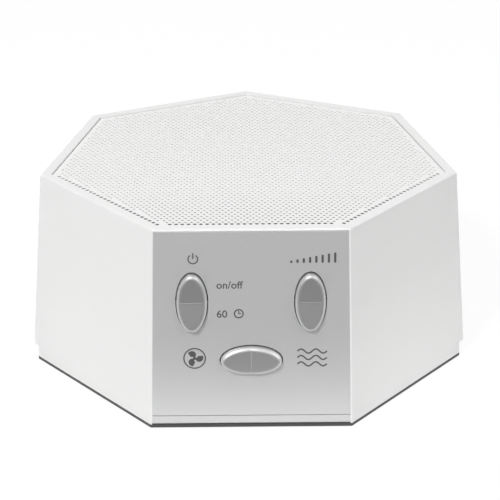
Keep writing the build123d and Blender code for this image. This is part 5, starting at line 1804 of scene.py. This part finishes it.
@dataclass
class Board:
    """Fine parts of the electronics: chip legs, capacitor tops and socket contacts.

    Attributes:
        leg: half width and half thickness of a chip's leg.
        leg_lift: gap between a leg's underside and the board.
        leg_out: the leg's bends, outwards from the chip's side.
        leg_up: height of these bends, as shares of the height at which the leg starts.
        leg_start: that height, as a share of the chip's.
        leg_heel: how much higher the last bend but one is.
        leg_step: step between legs.
        leg_margin: least length that stays free along a chip's side.
        capacitor_angles: places round the main board, degrees from +X.
        capacitor_inset: in from the board's round edge.
        capacitor_radius: of a can.
        can_foot: width and height of the slope at a can's foot.
        can_groove: height of the groove round a can over its foot, and its half height and depth.
        can_top: the bare top's profile: share of the radius, and depth under the highest point.
        can_rim: the sleeve's rolled rim: in from the radius, and depth under the highest point.
        can_inside: inside of that rim: share of the radius, and depth under the highest point.
        contact_skin: thickness of a contact sleeve.
        contact_round: depth of its rolled front edge.
    """

    leg: Pair = (0.18, 0.08)
    leg_lift: float = 0.01
    leg_out: tuple[float, ...] = (-0.2, 0.2, 0.35, 0.5, 0.7, 1.0)
    leg_up: tuple[float, ...] = (1.0, 1.0, 0.8, 0.25, 0.0, 0.0)
    leg_start: float = 0.5
    leg_heel: float = 0.02
    leg_step: float = 1.0
    leg_margin: float = 1.0
    capacitor_angles: tuple[float, ...] = (-17.0, -5.0, 160.0, 172.0)
    capacitor_inset: float = 6.9
    capacitor_radius: float = 3.15
    can_foot: Pair = (0.1, 0.15)
    can_groove: tuple[float, float, float] = (1.3, 0.4, 0.3)
    can_top: tuple[Pair, ...] = ((0, 0.25), (0.55, 0.25), (0.62, 0.12), (0.86, 0.12), (0.9, 0.3), (0, 0.3))
    can_rim: tuple[Pair, ...] = ((0, 0.3), (0.08, 0.08), (0.3, 0))
    can_inside: tuple[Pair, ...] = ((0.88, 0.02), (0.86, 0.3), (0, 0.3))
    contact_skin: float = 0.2
    contact_round: float = 0.1

    def legs(self, node: str, both_ways: bool) -> Surface:
        """Gull-wing legs along a chip's sides, one sheet-metal strip copied along each side.

        Args:
            node: the chip.
            both_ways: whether all four sides have legs, or only the two that face +Y and -Y.

        Returns:
            All legs in one surface.
        """
        low, high = corner_mm(node)
        half, thick = self.leg
        section = np.array([(-half, -thick), (half, -thick), (half, thick), (-half, thick)])
        foot = low[2] + thick + self.leg_lift
        level = foot + self.leg_start * (high[2] - low[2]) * np.array(self.leg_up)
        level[-2] += self.leg_heel
        sides = []
        for axis, sign in ((1, 1), (1, -1), (0, 1), (0, -1))[: 4 if both_ways else 2]:
            other = 1 - axis
            path = np.zeros((len(level), 3))
            path[:, axis] = (high if sign > 0 else low)[axis] + sign * np.array(self.leg_out)
            path[:, 2] = level
            count = int((high[other] - low[other] - self.leg_margin) / self.leg_step) + 1
            places = (np.arange(count) - (count - 1) / 2) * self.leg_step
            shifts = np.zeros((count, 3))
            shifts[:, other] = (low[other] + high[other]) / 2 + places
            sides.append(copies(tube(path, section), shifts))
        return join(sides)

    def capacitor(self, top: bool) -> Surface:
        """One can at every capacitor's place: the sleeve with its groove, or the bare metal top.

        Args:
            top: whether to make the metal tops.

        Returns:
            All of them in one surface.
        """
        low, high = corner_mm("capacitors")
        r, foot, head = self.capacitor_radius, low[2], high[2]
        if top:
            profile = [(r * share, head - depth) for share, depth in self.can_top]
        else:
            slope_wide, slope_tall = self.can_foot
            above, tall, deep = self.can_groove
            groove = foot + above
            start = [(0, foot), (r - slope_wide, foot), (r, foot + slope_tall)]
            waist = [(r, groove - tall), (r - deep, groove), (r, groove + tall)]
            rim = [(r - inset, head - depth) for inset, depth in self.can_rim]
            inside = [(r * share, head - depth) for share, depth in self.can_inside]
            profile = start + waist + rim + inside
        reach = corner_mm("main_board")[1][0] - self.capacitor_inset
        a = np.radians(self.capacitor_angles)
        shifts = np.stack([reach * np.cos(a), reach * np.sin(a), 0 * a], axis=1)
        return copies(turned(np.array(profile), segments=40), shifts)

    def contact(self, name: str, mount: str, radius: float, start: float, end: float) -> None:
        """Makes the thin metal sleeve in a socket's bore, with a rolled front edge.

        Args:
            name: the piece's name.
            mount: the socket's mount in the record.
            radius: of the bore that it lines.
            start: its front edge behind the mouth.
            end: its back edge behind the mouth.
        """
        inside = radius - self.contact_skin
        edge = [(radius, -start), ((radius + inside) / 2, -start + self.contact_round), (inside, -start)]
        profile = np.array([*edge, (inside, -end), (radius, -end)])
        add_piece(name, turned(profile, segments=48), "steel", "case", self.mount_place(mount))

    def mount_place(self, name: str) -> Place:
        """Axes of a mount: Z out of the wall, Y up.

        Args:
            name: the mount's name in the record.

        Returns:
            The axes.
        """
        mount = next(found for found in frame["record"]["mounts"] if found["name"] == name)
        out = np.array(mount["axis"], float)
        up = np.array([0.0, 0.0, 1.0])
        return Place(np.array(mount["pos_m"], float), np.cross(up, out), up, out)

    def build(self) -> None:
        """Makes the legs, the capacitors and the contacts."""
        add_piece("sound_chip_legs", self.legs("sound_chip", True), "steel", "case")
        add_piece("memory_chip_legs", self.legs("memory_chip", False), "steel", "case")
        add_piece("amplifier_chip_legs", self.legs("amplifier_chip", False), "steel", "case")
        sleeves = self.capacitor(top=False)
        add_piece("capacitor_sleeves", sleeves, "capacitor_sleeve", "case", replaces=("capacitors",))
        add_piece("capacitor_tops", self.capacitor(top=True), "metal_can", "case")
        self.contact("audio_contact", "audio_socket", radius=1.8, start=0.3, end=3.0)
        self.contact("power_contact", "power_inlet", radius=3.0, start=1.2, end=8.0)


# ---------------------------------------------------------------- studio
def direction(azimuth: float, elevation: float) -> Vector:
    """Unit vector at angle a round from the front and e over the table, both in degrees.

    It is (sin a cos e, -cos a cos e, sin e).

    Args:
        azimuth: a, positive to the right.
        elevation: e.

    Returns:
        The vector.
    """
    a, e = np.radians(azimuth), np.radians(elevation)
    return Vector((np.sin(a) * np.cos(e), -np.cos(a) * np.cos(e), np.sin(e)))


def facing(way: Vector) -> Quaternion:
    """Turn of a lamp or camera that looks this way and stands upright."""
    return way.to_track_quat("-Z", "Y")


@dataclass
class AreaLamp:
    """A rectangular lamp.

    Attributes:
        name: the lamp's name.
        size: width and height, metres.
        power: watts.
        mirrored: whether glossy surfaces show it.
    """

    name: str
    size: Pair
    power: float
    mirrored: bool = True

    def place(self, where: Vector, way: Vector) -> bpy.types.Object:
        """Makes the lamp.

        Args:
            where: its place, metres.
            way: direction in which it shines.

        Returns:
            The lamp.
        """
        light = bpy.data.lights.new(self.name, "AREA")
        light.shape = "RECTANGLE"
        light.size, light.size_y = self.size
        light.energy = self.power
        lamp = add_object(self.name, light)
        lamp.location = where
        lamp.rotation_euler = facing(way).to_euler()
        lamp.visible_glossy = self.mirrored
        return lamp


@dataclass
class Studio:
    """Camera, lamps, pale floor and world.

    Attributes:
        azimuth: camera's degrees round from the front.
        elevation: camera's degrees over the table.
        roll: camera's turn about its own line of sight.
        distance: millimetres from the target.
        target_height: millimetres over the table, of the point that it looks at.
        lens: millimetres on a 36 mm sensor.
        shift: the frame's shift, in frame widths.
        fill: strength of the world's even light.
        floor_color: the floor's own colour.
        floor_glow: share of plain white that the eye sees in the floor.
        floor_white: strength of that white.
        floor_drop: millimetres from the object's foot down to the floor.
        glow: millimetres in front of the axis between which the floor's reflection dims, and the
            share that is left.
        lamp_target: height over the table that the lamps point at, millimetres.
        foot_gap: millimetres from the foot of a side to the strip lamp that brightens it.
        foot_height: that lamp's height over the table, millimetres.
        half_floor: half the floor's width, metres.
    """

    azimuth: float = -0.728
    elevation: float = 23.06
    roll: float = -0.144
    distance: float = 509.5
    target_height: float = 27.06
    lens: float = 137.9
    shift: Pair = (0.0032, -0.01)
    fill: float = 0.26
    floor_color: Color = (0.86, 0.86, 0.86)
    floor_glow: float = 0.85
    floor_white: float = 1.05
    floor_drop: float = 0.05
    glow: tuple[float, float, float] = (60.0, 100.0, 0.12)
    lamp_target: float = 30.0
    foot_gap: float = 30.0
    foot_height: float = 5.0
    half_floor: float = 3.0

    def camera(self) -> None:
        """Sets the camera on its line of sight."""
        data = bpy.data.cameras.new("camera")
        data.lens = self.lens
        data.shift_x, data.shift_y = self.shift
        data.clip_start, data.clip_end = 0.01, 50
        camera = add_object("camera", data)
        back = direction(self.azimuth, self.elevation)
        look = facing(-back).to_matrix().to_4x4()
        roll = Matrix.Rotation(np.radians(self.roll), 4, "Z")
        target = Vector((0, 0, self.target_height * MM))
        camera.matrix_world = Matrix.Translation(target + back * self.distance * MM) @ look @ roll
        bpy.context.scene.camera = camera

    def seen(self, graph: Graph) -> Socket:
        """1 for rays that show the background: camera, glossy and transmission rays.

        Args:
            graph: the material's or the world's graph.

        Returns:
            The largest of the three.
        """
        path = graph.add("ShaderNodeLightPath").outputs
        some = graph.math("MAXIMUM", path["Is Camera Ray"], path["Is Glossy Ray"])
        return graph.math("MAXIMUM", some, path["Is Transmission Ray"])

    def whiteness(self, graph: Graph) -> Socket:
        """How white the floor shows: full to the camera, and less in reflections of its front.

        In a reflection it falls from 1 to the share that is left as -y goes from near to far.

        Args:
            graph: the floor's graph.

        Returns:
            Strength of the floor's white.
        """
        near, far, share = self.glow
        mirrored = graph.ramp(graph.axes(graph.own_coordinates())[1], -far * MM, -near * MM, share, 1.0)
        camera = graph.add("ShaderNodeLightPath").outputs["Is Camera Ray"]
        return graph.math("MULTIPLY", graph.math("MAXIMUM", camera, mirrored), self.floor_white)

    def world(self) -> None:
        """Even light, with plain white where the background shows."""
        world = bpy.data.worlds.new("studio")
        world.use_nodes = True
        graph = Graph(world.node_tree)
        light = graph.add("ShaderNodeBackground", {"Color": WHITE, "Strength": self.fill})
        white = graph.add("ShaderNodeBackground", {"Color": WHITE, "Strength": 1.0})
        both = graph.blend(self.seen(graph), light, white)
        graph.add("ShaderNodeOutputWorld", {"Surface": both.outputs[0]})
        bpy.context.scene.world = world

    def floor(self) -> None:
        """Pale floor that shows nearly white and keeps the object's shadow.

        Its underside is clear, so that the object can be looked at from below.
        """
        half, level = self.half_floor, -self.floor_drop * MM
        corners = [(-half, -half, level), (half, -half, level), (half, half, level), (-half, half, level)]
        mesh = bpy.data.meshes.new("floor")
        mesh.from_pydata(corners, [], [(0, 1, 2, 3)])
        material = bpy.data.materials.new("pale_floor")
        material.use_nodes = True
        graph = Graph(material.node_tree)
        matt = graph.add("ShaderNodeBsdfDiffuse", {"Color": (*self.floor_color, 1.0)})
        white = graph.add("ShaderNodeEmission", {"Color": WHITE, "Strength": self.whiteness(graph)})
        share = graph.math("MULTIPLY", self.seen(graph), self.floor_glow)
        above = graph.blend(share, matt, white)
        clear = graph.add("ShaderNodeBsdfTransparent")
        below = graph.add("ShaderNodeNewGeometry").outputs["Backfacing"]
        both = graph.blend(below, above, clear)
        graph.add("ShaderNodeOutputMaterial", {"Surface": both.outputs[0]})
        mesh.materials.append(material)
        add_object("floor", mesh)

    def lamp(self, azimuth: float, elevation: float, distance: float, lamp: AreaLamp) -> None:
        """Hangs a lamp that points at the object.

        Args:
            azimuth: degrees round from the front, positive to the right.
            elevation: degrees over the table.
            distance: metres from the object.
            lamp: the lamp.
        """
        out = direction(azimuth, elevation)
        lamp.place(Vector((0, 0, self.lamp_target * MM)) + out * distance, -out)

    def foot_lamp(self, side: int, lamp: AreaLamp) -> None:
        """Stands a low strip lamp in front of a side, which brightens the lower part of that side.

        Args:
            side: steps round from the front side, positive to the right.
            lamp: the lamp.
        """
        x, y = side_normals()[side]
        reach = (self.foot_gap - corner_mm("housing")[0][1]) * MM
        where = Vector((x * reach, y * reach, self.foot_height * MM))
        lamp.place(where, Vector((-x, -y, 0))).visible_camera = False

    def build(self) -> None:
        """Sets up the whole studio."""
        bpy.context.scene.view_settings.view_transform = "Standard"
        self.camera()
        self.world()
        self.floor()
        self.lamp(-28, 42, 1.3, AreaLamp("key_lamp", (0.16, 0.16), 8.9))
        self.lamp(58, 35, 1.3, AreaLamp("right_lamp", (0.6, 0.6), 2.7))
        self.lamp(0, 87, 1.1, AreaLamp("overhead_lamp", (0.7, 0.7), 3.8, mirrored=False))
        self.foot_lamp(1, AreaLamp("right_foot_lamp", (0.07, 0.006), 0.0015, mirrored=False))
        self.foot_lamp(-1, AreaLamp("left_foot_lamp", (0.07, 0.006), 0.0006, mirrored=False))


def main() -> None:
    """Builds the sub-assemblies in order."""
    logging.basicConfig(level=logging.INFO, format="%(message)s")
    face = FrontFace()
    dress_nodes()
    Grille().build()
    for rocker in (Rocker("power"), Rocker("volume"), Rocker("sound", ridge_high=0.2, crest_painted_highlight=0.2)):
        rocker.build(face)
    PanelEdge().build(face)
    Legends().build(face)
    Speaker().build()
    Board().build()
    Studio().build()


if __name__ == "__main__":
    main()
